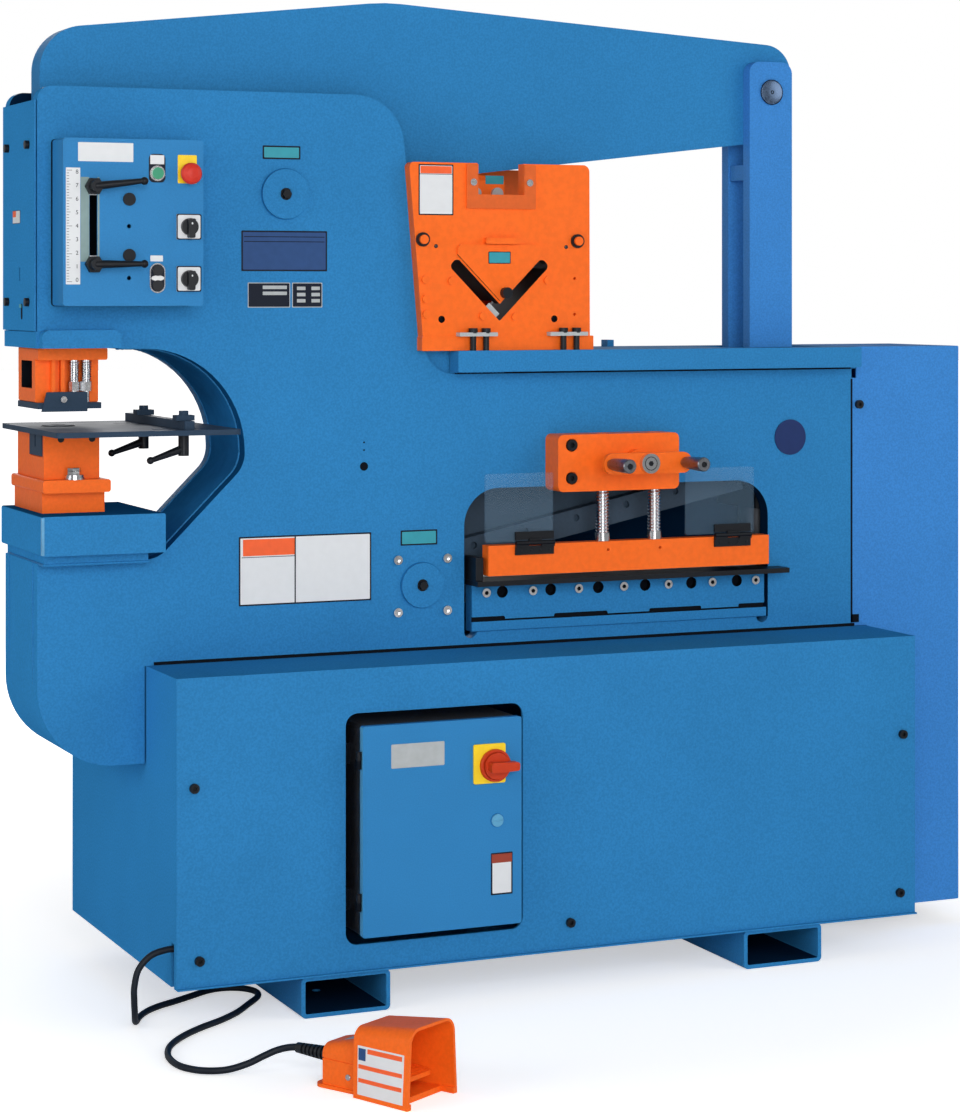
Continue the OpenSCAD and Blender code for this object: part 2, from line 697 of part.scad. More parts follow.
module shear_arm() {
    p = shear_pivot;
    q = [column_x - p[0], column_low_z - p[1]];
    color(blue) difference() {
        union() {
            plate([for (c = [[0, -60, 0], [90, 14, 30], [holder_x0 + blade_len - p[0] + 4, 14, 10],
                [q[0] + 13, 45, 30], [q[0] + 48, 52, 0], [q[0] + 48, 148, 0], [640, 180, 120],
                [60, 180, 90], [-40, 60, 0]])
                [p[0] + c[0] * cos(blade_open) - c[1] * sin(blade_open),
                    p[1] + c[0] * sin(blade_open) + c[1] * cos(blade_open), c[2]]], arm_y0, arm_y1);
            pin_y(p[0], p[1], arm_y0, arm_y1, pivot_d / 2 + 32);
            pin_y(column_x, column_low_z, arm_y0, arm_y1, 64);
        }
        pin_y(p[0], p[1], arm_y0 - 1, arm_y1 + 1, pivot_d / 2 - 4 + fit);
        pin_y(column_x, column_low_z, arm_y0 - 1, arm_y1 + 1, column_pin_d / 2 + link_slack);
    }
    // upper blade on the front of the arm
    color(steel) translate([p[0], 0, p[1]]) rotate([0, -blade_open, 0]) difference() {
        translate([holder_x0 - p[0], blade_y, shear_z - p[1]])
            cube([blade_len, arm_y0 - 0.05 - blade_y, blade_h]);
        for (i = [0:5])
            pin_y(holder_x0 - p[0] + 40 + i * (blade_len - 80) / 5, shear_z - p[1] + blade_h - 18,
                blade_y - 1, blade_y + 8, 7, 24);
    }
}

module gearbox_housing() {
    color(orange) difference() {
        union() {
            slab(gear_x[0], gear_x[1], gear_z[0], gear_z[1], gear_y, front_y, 12);
            pin_y(hold_x, crank_z, gear_y - 16, gear_y + 1, 25);
        }
        for (s = [-1, 1]) translate([hold_x + s * screw_pitch / 2, hold_y, gear_z[0] - 1])
            cylinder(h = gear_z[1] - gear_z[0] + 2, r = screw_d / 2 + fit);
        pin_y(hold_x, crank_z, gear_y - 17, gear_y + 10, 14 + fit);
        for (z = [gear_z[0] + 27, gear_z[1] - 21]) {
            pin_y(gear_x[0] + 30, z, gear_y - 1, gear_y + 10, 13, 32);
            pin_y(gear_x[0] + 30, z, gear_y, front_y + 1, 7, 24);
        }
    }
}

module hold_down_bar() {
    x0 = -113;
    x1 = 520;
    color(orange) difference() {
        slab(x0, x1, hold_z, hold_z + hold_bar_h, hold_y - hold_bar_t / 2, hold_y + hold_bar_t / 2, 1);
        for (s = [-1, 1]) translate([hold_x + s * screw_pitch / 2, hold_y, hold_z + 22])
            cylinder(h = hold_bar_h, r = 11);
        pin_y(hold_x - screw_pitch / 2 + 6, hold_z + 43, hold_y - 20, hold_y - 5, 3, 16);
        pin_y(hold_x + screw_pitch / 2 + 6, hold_z + 43, hold_y - 20, hold_y - 5, 3, 16);
    }
    // hinge leaves and outer knuckles of the guards
    y = hold_y - hold_bar_t / 2;
    z = hold_z + hold_bar_h + 4;
    color(black) for (x = hinge_x) {
        block([x, y - 4, z - 24], [x + 84, y + 0.01, z - 6]);
        for (i = [0, 2]) {
            translate([x + 28 * i, y - 6, z]) rotate([0, 90, 0]) cylinder(h = 28, r = 4.5, $fn = 32);
            block([x + 28 * i, y - 8, z - 8], [x + 28 * i + 28, y - 2, z]);
        }
    }
}

module lead_screws() {
    z0 = hold_z + hold_bar_h;
    color(steel) for (s = [-1, 1]) translate([hold_x + s * screw_pitch / 2, hold_y, 0]) {
        translate([0, 0, z0 - 38]) cylinder(h = 39, r = 10.9);
        translate([0, 0, z0 + seat]) cylinder(h = 16, r = screw_d / 2 + 1);
        translate([0, 0, z0 + 10]) cylinder(h = gear_z[1] - 10 - z0 - 10, r = screw_d / 2);
    }
}

module guard(i) {
    x = guard_x[i];
    hx = hinge_x[i];
    y = hold_y - hold_bar_t / 2;
    z = hold_z + hold_bar_h + 4;
    color(clear) slab(x, x + guard_w[i], z + 2, z + guard_h, y + seat, y + guard_t, 5);
    color(black) {
        block([hx, y - 4, z + 6], [hx + 84, y + seat, z + 22]);
        translate([hx + 28.4, y - 6, z]) rotate([0, 90, 0]) cylinder(h = 27.2, r = 4.5, $fn = 32);
        block([hx + 28.4, y - 8, z], [hx + 55.6, y - 3, z + 8]);
    }
}
module guard_left() { guard(0); }
module guard_right() { guard(1); }

module crank_bar() {
    color(orange) difference() {
        slab(hold_x - crank_arm, hold_x + crank_arm, crank_z - 21, crank_z + 21,
            gear_y - 60, gear_y - 48, 20);
        pin_y(hold_x, crank_z, gear_y - 70, gear_y - 40, 13.9);
        for (s = [-1, 1]) pin_y(hold_x + s * grip_r, crank_z, gear_y - 70, gear_y - 40, 5.9);
    }
    color(steel) {
        pin_y(hold_x, crank_z, gear_y - 60, gear_y + 9, 14);
        difference() {
            pin_y(hold_x, crank_z, gear_y - 72, gear_y - 60, 20);
            pin_y(hold_x, crank_z, gear_y - 73, gear_y - 66, 5, 6);
        }
        // studs that the grips turn on
        for (s = [-1, 1]) pin_y(hold_x + s * grip_r, crank_z, gear_y - 140, gear_y - 50, 6);
    }
}

module crank_grip(s) {
    color(steel) translate([hold_x + s * grip_r, gear_y - 60 - seat, crank_z]) rotate([90, 0, 0])
        rotate_extrude() polygon([[6 + fit, 0], [10, 0], [12, 10], [14, 60], [14, 80], [12.5, 82],
            [6 + fit, 82]]);
}
module crank_grip_left() { crank_grip(-1); }
module crank_grip_right() { crank_grip(1); }

// ---- levers and cylinder -------------------------------------------------

module pivot_pins() {
    color(blue) {
        difference() {
            pin_y(arm_pivot[0], arm_pivot[1], front_y - 6, back_y + 6, pivot_d / 2);
            pin_y(arm_pivot[0], arm_pivot[1], front_y - 7, front_y - 4, 12, 32);
        }
        difference() {
            pin_y(shear_pivot[0], shear_pivot[1], front_y - 6, back_y + 6, pivot_d / 2 - 4);
            pin_y(shear_pivot[0], shear_pivot[1], front_y - 7, front_y - 4, 12, 32);
        }
        for (sx = [-1, 1]) for (sz = [-1, 1])
            bolt_y(shear_pivot[0] + sx * 52.5, shear_pivot[1] + sz * 51.5, front_y - 8, 9, 8 - seat, 0.1);
    }
    color(black) for (p = [arm_pivot, shear_pivot])
        pin_y(p[0], p[1], front_y - 14, front_y - 4 - seat, 9, 6);
    // cover of the access hole
    color(dark_blue) pin_y(access_x, column_low_z, front_y - 2, front_y + 10, access_r - fit, 64);
}

module upper_arm() {
    color(blue) difference() {
        union() {
            plate([for (c = [[-982, -38, 20], [-400, -38, 40], [-270, 28, 60], [column_x + 15, 130, 0],
                [column_x + 55, 135, 30], [column_x + 63, 217, 0], [column_x + 65, 331, 62],
                [-279, 389, 400], [-865, 323, 200], [-982, 310, 88]])
                [c[0], arm_z + c[1], c[2]]], arm_y0, arm_y1);
            pin_y(arm_pivot[0], arm_pivot[1], arm_y0, arm_y1, pivot_d / 2 + 60);
        }
        pin_y(arm_pivot[0], arm_pivot[1], arm_y0 - 1, arm_y1 + 1, pivot_d / 2 + fit);
        pin_y(column_x, column_top_z, arm_y0 - 1, arm_y1 + 1, column_pin_d / 2 + fit);
        // slot for the ram pin
        slab(punch_x - 28, punch_x + 28, arm_z - 20.5, arm_z + 20.5, arm_y0 - 1, arm_y1 + 1, 20);
    }
}

module column_straps() {
    w = strap_w / 2;
    color(blue) for (y = [strap_y0, strap_y1]) difference() {
        slab(column_x - w, column_x + w, column_low_z - w, column_top_z + 64, y, y + strap_t, 24);
        pin_y(column_x, column_top_z, y - 1, y + strap_t + 1, column_pin_d / 2);
        pin_y(column_x, column_low_z, y - 1, y + strap_t + 1, column_pin_d / 2);
    }
    // spacer between the straps under the arm
    color(blue) block([column_x - w + 4, strap_y0 + strap_t, column_top_z - 185],
        [column_x - w + 36, strap_y1, column_top_z - 153]);
    // column pins with domed heads
    color(steel) for (z = [column_top_z, column_low_z]) {
        difference() {
            pin_y(column_x, z, strap_y0 - 4, strap_y1 + strap_t + 4, column_pin_d / 2);
            pin_y(column_x, z, strap_y0 - 5, strap_y0 + 4, 6, 24);
        }
    }
}

module lift_rod() {
    low = column_low_z - 150;
    y0 = clevis_y0;
    y1 = clevis_y1;
    color(steel) {
        difference() {
            union() {
                slab(column_x - 50, column_x + 50, low, column_low_z + 50, y0, y0 + clevis_t, 30);
                slab(column_x - 50, column_x + 50, low, column_low_z + 50, y1 - clevis_t, y1, 30);
                block([column_x - 50, y0, low], [column_x + 50, y1, low + 46]);
            }
            pin_y(column_x, column_low_z, y0 - 1, y1 + 1, column_pin_d / 2 + link_slack);
        }
        translate([column_x, frame_yc, piston_z]) cylinder(h = low - piston_z + 1, r = rod_d / 2);
        translate([column_x, frame_yc, piston_z])
            cylinder(h = piston_h, r = barrel_d / 2 - barrel_wall - fit, $fn = 64);
    }
}

module lift_cylinder() {
    color(blue) difference() {
        union() {
            translate([column_x, frame_yc, trunnion_z + 50])
                cylinder(h = barrel_top - trunnion_z - 50, r = barrel_d / 2, $fn = 64);
            pin_y(column_x, trunnion_z, frame_yc - 30, frame_yc + 30, 52);
            translate([column_x - 40, frame_yc - 30, trunnion_z]) cube([80, 60, 60]);
        }
        translate([column_x, frame_yc, trunnion_z + 75])
            cylinder(h = barrel_top - 40 - trunnion_z - 75, r = barrel_d / 2 - barrel_wall, $fn = 64);
        translate([column_x, frame_yc, trunnion_z + 75]) cylinder(h = barrel_top, r = rod_d / 2 + fit);
        pin_y(column_x, trunnion_z, frame_yc - 31, frame_yc + 31, 20 + fit);
    }
}

// ---- punch station -------------------------------------------------------

module punch_ram() {
    top = arm_z + 47;
    low = throat_z - 22;
    color(steel) {
        difference() {
            translate([punch_x, frame_yc, low]) cylinder(h = top - low, r = ram_d / 2);
            block([punch_x - ram_d, arm_y0 - 1, arm_z - 51], [punch_x + ram_d, arm_y1 + 1, top + 1]);
        }
        pin_y(punch_x, arm_pivot[1], frame_yc - 45, frame_yc + 45, 18);
        // coupling nut and punch
        translate([punch_x, frame_yc, low - 37]) cylinder(h = 37, r = 36);
        translate([punch_x, frame_yc, low - 89]) cylinder(h = 52.1, r = punch_d / 2);
    }
}

module die_holder() {
    x0 = punch_x - die_w / 2;
    x1 = punch_x + die_w / 2;
    color(orange) difference() {
        union() {
            slab(x0, x1, bolster_z + 20, table_plate_z, -145, 53, 0);
            block([x0 - 5, -152, anvil_top], [x1 + 8, 58, bolster_z + 5]);
            slab(x0 - 10, x1 + 13, bolster_z, bolster_z + 24, -178, 64, 5);
        }
        translate([punch_x, frame_yc, anvil_top - 1]) cylinder(h = 300, r = 22);
        translate([punch_x, frame_yc, die_top - 32]) cylinder(h = 60, r = die_d / 2 + fit);
        for (x = [x0 + 33, x1 - 14]) pin_y(x, table_plate_z - 10, -146, -125, 6.5, 24);
        // recess for the table bracket
        block([x0 - 1, -137, table_plate_z - 44], [x0 + 4, -43, table_plate_z + 2]);
    }
    // die
    color(steel) difference() {
        translate([punch_x, frame_yc, die_top - 32]) cylinder(h = 32, r = die_d / 2);
        translate([punch_x, frame_yc, die_top - 40]) cylinder(h = 60, r = punch_d / 2 + 0.6);
    }
}

module punch_table() {
    z0 = table_plate_z;
    x0 = punch_x - die_w / 2;
    color(dark_blue) {
        difference() {
            translate([0, 0, z0]) linear_extrude(table_plate_t)
                polygon(outline([[-1008, -305, 12], [-655, -305, 12], [-655, 120, 12], [-1008, 120, 12]]));
            translate([punch_x, frame_yc, z0 - 1]) cylinder(h = table_plate_t + 2, r = die_d / 2 + 3);
            for (y = clamp_y) hull() for (x = [fence_x - 56, fence_x + 56])
                translate([x, y, z0 - 1]) cylinder(h = table_plate_t + 2, r = 6, $fn = 24);
        }
        // slotted bracket on the side of the die holder
        difference() {
            block([x0 - 2, -135, z0 - 42], [x0 + 4 - seat, -45, z0 + 1]);
            block([x0 - 3, -92, z0 - 26], [x0 + 5, -84, z0 - 4]);
        }
    }
}

module stripper_body() {
    x0 = punch_x - 61;
    x1 = punch_x + 61;
    z1 = throat_z + 2 - seat;
    color(orange) difference() {
        union() {
            slab(x0, x1, stripper_z, z1, -110, 18, 3);
            slab(x0, x1 + 12, z1 - 23, z1, -132, 18, 4);
            for (x = [x0 + 28, x0 + 46]) plate([[x, stripper_z + 19, 0],
                [x + 7, stripper_z + 19, 0], [x + 7, z1, 0], [x, z1, 0]], -124, -100);
        }
        translate([punch_x, frame_yc, stripper_z + 34]) cylinder(h = 100, r = ram_d / 2 + 3);
        translate([punch_x, frame_yc, stripper_z - 46]) cylinder(h = 100, r = 40);
        // side window
        block([x0 - 1, -86, stripper_z + 26], [x0 + 30, -6, stripper_z + 78]);
    }
}

module stripper_plate() {
    x0 = punch_x - 61;
    color(black) difference() {
        union() {
            block([x0, -132, stripper_z - 12], [x0 + 122, 23, stripper_z - seat]);
            plate([[x0 + 6, stripper_z - 17, 0], [x0 + 94, stripper_z - 17, 0],
                [x0 + 94, stripper_z + 20, 2], [x0 + 16, stripper_z + 20, 2]], -136, -131);
        }
        translate([punch_x, frame_yc, stripper_z - 26]) cylinder(h = 40, r = punch_d / 2 + 3);
    }
}

module table_fence() {
    z = table_plate_z + table_plate_t;
    color(dark_blue) {
        difference() {
            slab_z(fence_x - fence_w / 2, fence_x + fence_w / 2, -290, 108, z + seat, z + 16, 4);
            for (y = clamp_y) translate([fence_x, y, z - 1]) cylinder(h = 40, r = 5.9, $fn = 32);
        }
    }
    color(black) for (y = clamp_y) {
        slab_z(fence_x - 18, fence_x + 18, y - 14, y + 14, z + 16, z + 26, 3);
        translate([fence_x, y, z + 26]) cylinder(h = 8, r = 9, $fn = 24);
        // clamping bolt that passes the table
        translate([fence_x, y, z - 44]) cylinder(h = 61, r = 5.5, $fn = 32);
    }
}

// A box with rounded vertical edges
module slab_z(x0, x1, y0, y1, z0, z1, r) {
    translate([0, 0, z0]) linear_extrude(z1 - z0)
        polygon(outline([[x0, y0, r], [x1, y0, r], [x1, y1, r], [x0, y1, r]]));
}

// A kip lever: hub on a vertical bolt and a handle dropping away from it
module kip_lever(y) {
    z = table_plate_z - seat;
    color(black) difference() {
        union() {
            translate([fence_x, y, z - 40]) cylinder(h = 40, r = 10, $fn = 32);
            hull() {
                translate([fence_x, y, z - 26]) sphere(r = 8, $fn = 24);
                translate([fence_x - 62, y - 6, z - 46]) sphere(r = 5, $fn = 24);
            }
            translate([fence_x - 66, y - 6, z - 47]) sphere(r = 7, $fn = 24);
        }
        translate([fence_x, y, z - 41]) cylinder(h = 42, r = 5.5 + fit, $fn = 32);
    }
}
module kip_lever_left() { kip_lever(clamp_y[1]); }
module kip_lever_right() { kip_lever(clamp_y[0]); }

// ---- controls ------------------------------------------------------------

module control_box() {
    x1 = box_x0 + box_w;
    z1 = box_z0 + box_h;
    color(blue) difference() {
        union() {
            slab(box_x0, x1, box_z0, z1, box_y, front_y, 6);
            for (x = button_x) pin_y(x, button_z, box_y - 3, box_y + 1, 14.5);
            slab(button_x[0] - 15, button_x[0] + 15, jog_z[0] - 14, jog_z[1] + 14,
                box_y - 3, box_y + 1, 15);
            for (z = selector_z)
                slab(button_x[1] - 24, button_x[1] + 24, z - 24, z + 24, box_y - 3, box_y + 1, 3);
            for (z = [box_z0 + 94, box_z0 + 198]) pin_y(-858, z, box_y - 4, box_y + 1, 12);
        }
        slab(box_x0 + 3, x1 - 3, box_z0 + 3, z1 - 3, box_y + 3, front_y + 1, 4);
        block([slot_x - 7.5, box_y - 5, slot_z[0] - 14], [slot_x + 7.5, box_y + 4, slot_z[1] + 14]);
        for (x = button_x) pin_y(x, button_z, box_y - 5, box_y + 4, 11 + fit);
        for (z = jog_z) pin_y(button_x[0], z, box_y - 5, box_y + 4, 10 + fit);
        for (z = selector_z) pin_y(button_x[1], z, box_y - 5, box_y + 4, 11 + fit);
        for (z = [box_z0 + 52, box_z0 + 148]) pin_y(-858, z, box_y - 5, box_y + 4, 4, 24);
    }
}

// A push button: cap in the bezel and a stem with a collar behind the panel
module push_button(x, z, r, cap) {
    union() {
        pin_y(x, z, box_y - cap, box_y + 30, r);
        pin_y(x, z, box_y + 14, box_y + 30, r + 3);
    }
}

module start_button() { color("green") push_button(button_x[0], button_z, 11, 7); }
module jog_up() { color("white") push_button(button_x[0], jog_z[1], 10, 6); }
module jog_down() { color(black) push_button(button_x[0], jog_z[0], 10, 6); }

module emergency_stop() {
    color("red") {
        push_button(button_x[1], button_z, 11, 12);
        translate([button_x[1], box_y - 11, button_z]) rotate([90, 0, 0])
            rotate_extrude() polygon([[0, 0], [17, 0], [20, 4], [20, 9], [17, 13], [10, 16], [0, 17]]);
    }
}

module selector(z) {
    x = button_x[1];
    color(black) {
        pin_y(x, z, box_y - 4, box_y + 24, 11);
        pin_y(x, z, box_y - 12, box_y - 3 - seat, 16);
        plate([[x - 6, z - 21, 3], [x + 6, z - 21, 3], [x + 7, z + 15, 3], [x - 7, z + 15, 3]],
            box_y - 24, box_y - 11);
    }
}
module selector_upper() { selector(selector_z[1]); }
module selector_lower() { selector(selector_z[0]); }

module stroke_stop(z) {
    color(steel) difference() {
        union() {
            block([slot_x - 18, box_y + 3 + seat, z - 16], [slot_x + 18, box_y + 15, z + 16]);
            block([slot_x - 7, box_y + 0.5, z - 14], [slot_x + 7, box_y + 4, z + 14]);
        }
        pin_y(slot_x, z, box_y, box_y + 16, 5 + fit, 32);
    }
}
module stroke_stop_upper() { stroke_stop(slot_z[1]); }
module stroke_stop_lower() { stroke_stop(slot_z[0]); }

// A clamping lever on the panel: hexagonal foot, hub and a handle with a ball end
module clamp_lever(z, lift) {
    color(black) {
        pin_y(slot_x, z, box_y - 12, box_y - seat, 17, 6);
        pin_y(slot_x, z, box_y - 30, box_y - 11, 11, 32);
        pin_y(slot_x, z, box_y - 12, box_y + 13, 5, 32);
        hull() {
            translate([slot_x, box_y - 24, z]) sphere(r = 8, $fn = 24);
            translate([slot_x + 84, box_y - 32, z + lift]) sphere(r = 5, $fn = 24);
        }
        translate([slot_x + 88, box_y - 32, z + lift]) sphere(r = 7.5, $fn = 24);
    }
}
module clamp_lever_upper() { clamp_lever(slot_z[1], 10); }
module clamp_lever_lower() { clamp_lever(slot_z[0], 1); }

module electrical_door() {
    x1 = door_x0 + door_w;
    color(blue) difference() {
        slab(door_x0, x1, door_z0, door_z0 + door_h, rim_y - seat - door_t, rim_y - seat, 5);
        slab(door_x0 + 6, x1 - 6, door_z0 + 6, door_z0 + door_h - 6,
            rim_y - seat - door_t + 2, rim_y + 1, 4);
        for (p = [handle_at, latch_at]) pin_y(p[0], p[1], rim_y - 40, rim_y + 1, 9 + fit, 32);
    }
    // hinge knuckles on the left edge
    color(blue) for (z = hinge_z) translate([hinge_at[0], hinge_at[1], z + 16 + seat]) difference() {
        union() {
            cylinder(h = 16, r = 4.5, $fn = 32);
            block([0, -2, 0], [6, 2, 16]);
        }
        translate([0, 0, -1]) cylinder(h = 18, r = 2 + fit, $fn = 32);
    }
    color("gold") difference() {
        slab(-226, -160, handle_at[1] - 34, handle_at[1] + 41,
            rim_y - seat - door_t - 4, rim_y - seat - door_t + 1, 4);
        pin_y(handle_at[0], handle_at[1], rim_y - 40, rim_y + 1, 9 + fit, 32);
    }
}

module disconnect_handle() {
    y = rim_y - seat - door_t - 4;
    x = handle_at[0];
    z = handle_at[1];
    color("red") {
        pin_y(x, z, y - 2, rim_y - 2, 9, 32);
        pin_y(x, z, y - 14, y - seat, 25);
        plate([[x - 19, z - 10, 5], [x + 39, z - 8, 5], [x + 39, z + 8, 5], [x - 19, z + 10, 5]],
            y - 32, y - 13);
    }
}

module door_latch() {
    y = rim_y - seat - door_t;
    x = latch_at[0];
    z = latch_at[1];
    color(steel) difference() {
        union() {
            pin_y(x, z, y - 3, y - seat, 12);
            pin_y(x, z, y - 1, rim_y - 2, 9, 32);
        }
        block([x - 10, y - 4, z - 1.5], [x + 10, y - 1.5, z + 1.5]);
    }
}

// ---- foot switch ---------------------------------------------------------

// Places children in the foot switch frame: x forward, y across, z up
module at_foot() {
    translate([foot_pos[0], foot_pos[1], 0]) rotate([0, 0, foot_turn]) children();
}

// A thin upright slice with rounded top corners, x ahead of the rear end; its foot is wider by flare
module arch(x, w, z1, r, z0 = 0, flare = 0) {
    f = w + flare;
    translate([x, 0, 0]) rotate([90, 0, 90]) linear_extrude(2)
        polygon(outline([[-f, z0, 0], [f, z0, 0], [w, z1, r], [-w, z1, r]]));
}

module foot_switch_body() {
    w = hood_w / 2;
    color(orange) at_foot() {
        difference() {
            union() {
                // rear housing, tapered in width and height, with the seam of its lid
                difference() {
                    hull() {
                        arch(0, 40, 74, 18);
                        arch(84, 43, 94, 18);
                    }
                    difference() {
                        translate([-1, -w, 49]) cube([83, hood_w, 2]);
                        hull() {
                            arch(1.5, 38.5, 60, 0);
                            arch(84, 41.5, 60, 0);
                        }
                    }
                }
                // hood
                hull() {
                    arch(82, w - 8, 118, 22, 0, 2);
                    arch(foot_len - 2, w - 4, hood_h, 26, 0, 8);
                }
                // base plate
                slab_z(-16, foot_len - 26, -w + 20, w - 20, 0, 6, 16);
            }
            // inside of the hood, open at the front and below the skirts
            hull() {
                arch(90, w - 13, 110, 18, 10, 0);
                arch(foot_len, w - 9, hood_h - 5, 21, 10, 7);
            }
            translate([foot_len - 26, -w + 6, -1]) cube([40, hood_w - 12, 12]);
        }
        // lugs that carry the treadle's rod
        for (s = [-1, 1]) difference() {
            translate([88, s * 50 - 3, 0]) cube([16, 6, 50]);
            translate([96, s * 50 + 4, 40]) rotate([90, 0, 0]) cylinder(h = 8, r = 6 + fit, $fn = 32);
        }
    }
}

module treadle() {
    w = hood_w / 2 - 20;
    color(orange) at_foot() {
        translate([96, 0, 40]) rotate([0, 4, 0]) difference() {
            slab_z(-4, 74, -w, w, -4, 4, 8);
            for (i = [0:5]) translate([14 + i * 10, -w + 8, 3]) cube([3, 2 * w - 16, 2]);
        }
        translate([96, 52, 40]) rotate([90, 0, 0]) cylinder(h = 104, r = 6, $fn = 32);
    }
}

module strain_relief() {
    color(black) at_foot() translate([-seat, 0, 44]) rotate([0, -90, 0]) {
        difference() {
            cylinder(h = 88, r1 = 14, r2 = 9, $fn = 24);
            translate([0, 0, 76]) cylinder(h = 20, r = cable_r + 0.05, $fn = 24);
            for (i = [0:6]) translate([0, 0, 16 + i * 9]) difference() {
                cylinder(h = 4, r = 20, $fn = 24);
                cylinder(h = 4, r = 10 - i * 0.5, $fn = 24);
            }
        }
    }
}

// One closed tube of round rings along a list of points
module tube(path, r, sides) {
    n = len(path);
    rings = [for (i = [0:n - 1])
        let (d = path[min(i + 1, n - 1)] - path[max(i - 1, 0)], t = d / norm(d),
            s = cross(t, [0, 0, 1]), u = norm(s) > 0.05 ? s / norm(s) : [1, 0, 0], v = cross(u, t))
        for (k = [0:sides - 1]) path[i] + r * (u * cos(k * 360 / sides) + v * sin(k * 360 / sides))];
    polyhedron(points = rings, faces = concat(
        [[for (k = [0:sides - 1]) k]],
        [for (i = [0:n - 2]) for (k = [0:sides - 1]) let (a = i * sides, b = a + sides, j = (k + 1) % sides)
            each [[a + k, b + k, b + j], [a + k, b + j, a + j]]],
        [[for (k = [sides - 1:-1:0]) (n - 1) * sides + k]]));
}

// Catmull-Rom curve through the points
function curve(p, steps) = [for (i = [0:len(p) - 2]) each
    let (a = p[max(i - 1, 0)], b = p[i], c = p[i + 1], d = p[min(i + 2, len(p) - 1)])
    [for (k = [0:steps - 1]) let (t = k / steps)
        0.5 * (2 * b + (c - a) * t + (2 * a - 5 * b + 4 * c - d) * t * t
            + (3 * b - a - 3 * c + d) * t * t * t)],
    p[len(p) - 1]];

module foot_switch_cable() {
    color(black) tube(curve(cable_points, 2), cable_r, 10);
}

// ---- fasteners -----------------------------------------------------------

module black_bolts() {
    color(black) {
        for (p = [[base_x0 + 33, base_z - 202], [base_x0 + 43, skid_h + 51], [-5, skid_h + 53],
            [base_x1 - 31, base_z - 200], [base_x1 - 38, skid_h + 46]])
            bolt_y(p[0], p[1], -base_y - 8, 9, 8 - seat, 0.1);
        bolt_y(frame_x1 + 17, plate_z - 76, front_y - 8, 9, 8 - seat, 0.1);
        // bolts of the nose cover
        for (z = [throat_z + 88, frame_top - 109]) for (y = [inner_y0 + 12, inner_y1 - 12])
            translate([-nose_x - 5 - seat, y, z]) rotate([0, -90, 0]) cylinder(h = 8, r = 8, $fn = 24);
        for (z = [gear_z[0] + 27, gear_z[1] - 21]) bolt_y(gear_x[0] + 30, z, gear_y - 3, 11, 12, 40);
        for (i = [0:6]) bolt_y(holder_x0 + 29 + i * 101.8, holder_bolt_z, front_y - 7, 9, 7 - seat, 12);
        for (x = [punch_x - die_w / 2 + 33, punch_x + die_w / 2 - 14])
            pin_y(x, table_plate_z - 10, -144, -126, 6.4, 24);
        pin_y(-70, table_z + 114, angle_y - 18, angle_y - 4 - seat, 11, 32);
        for (p = guard_bolts) difference() {
            pin_y(p[0], p[1], angle_y - 6, angle_y - seat, 14);
            pin_y(p[0], p[1], angle_y - 7, angle_y, 9 + seat);
        }
    }
}

module plated_fasteners() {
    z1 = throat_z + 2 - 23;
    color(steel) {
        // stripper studs with nuts
        for (x = [punch_x + 10, punch_x + 34]) translate([x, -122.5, 0]) {
            translate([0, 0, stripper_z]) cylinder(h = z1 - stripper_z - seat, r = 6, $fn = 32);
            translate([0, 0, stripper_z + 21]) cylinder(h = 18, r = 11.5, $fn = 6);
        }
        // die holder bolt and washer
        translate([punch_x, -164, bolster_z + 24 + seat]) {
            cylinder(h = 3, r = 18, $fn = 32);
            translate([0, 0, 2.9]) cylinder(h = 14, r = 13, $fn = 6);
        }
        pin_y(punch_x - 14, stripper_z + 6, -142, -136 - seat, 6, 24);
        for (x = [-139, -17]) pin_y(x, table_z + 333, angle_y - 8, angle_y - 5 - seat, 7, 24);
    }
}

skid_tubes();
base_cabinet();
base_front_panel();
electrical_box();
power_unit();
front_plate();
back_plate();
frame_webs();
anvil_block();
ram_housing();
nose_cover();
column_housing();
control_box();
gearbox_housing();
blade_holder();
fixed_blades();
angle_shear_plate();
angle_blade_block();
pivot_pins();
die_holder();
punch_table();
stripper_body();
stripper_plate();
black_bolts();
plated_fasteners();
angle_stop_clamps();
foot_switch_body();
strain_relief();
foot_switch_cable();
upper_arm();
column_straps();
lift_rod();
lift_cylinder();
punch_ram();
shear_arm();
angle_ram();
hold_down_bar();
lead_screws();
crank_bar();
crank_grip_left();
crank_grip_right();
guard_left();
guard_right();
electrical_door();
disconnect_handle();
door_latch();
start_button();
emergency_stop();
jog_up();
jog_down();
selector_upper();
selector_lower();
stroke_stop_upper();
stroke_stop_lower();
clamp_lever_upper();
clamp_lever_lower();
table_fence();
kip_lever_left();
kip_lever_right();
treadle();
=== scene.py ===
import math

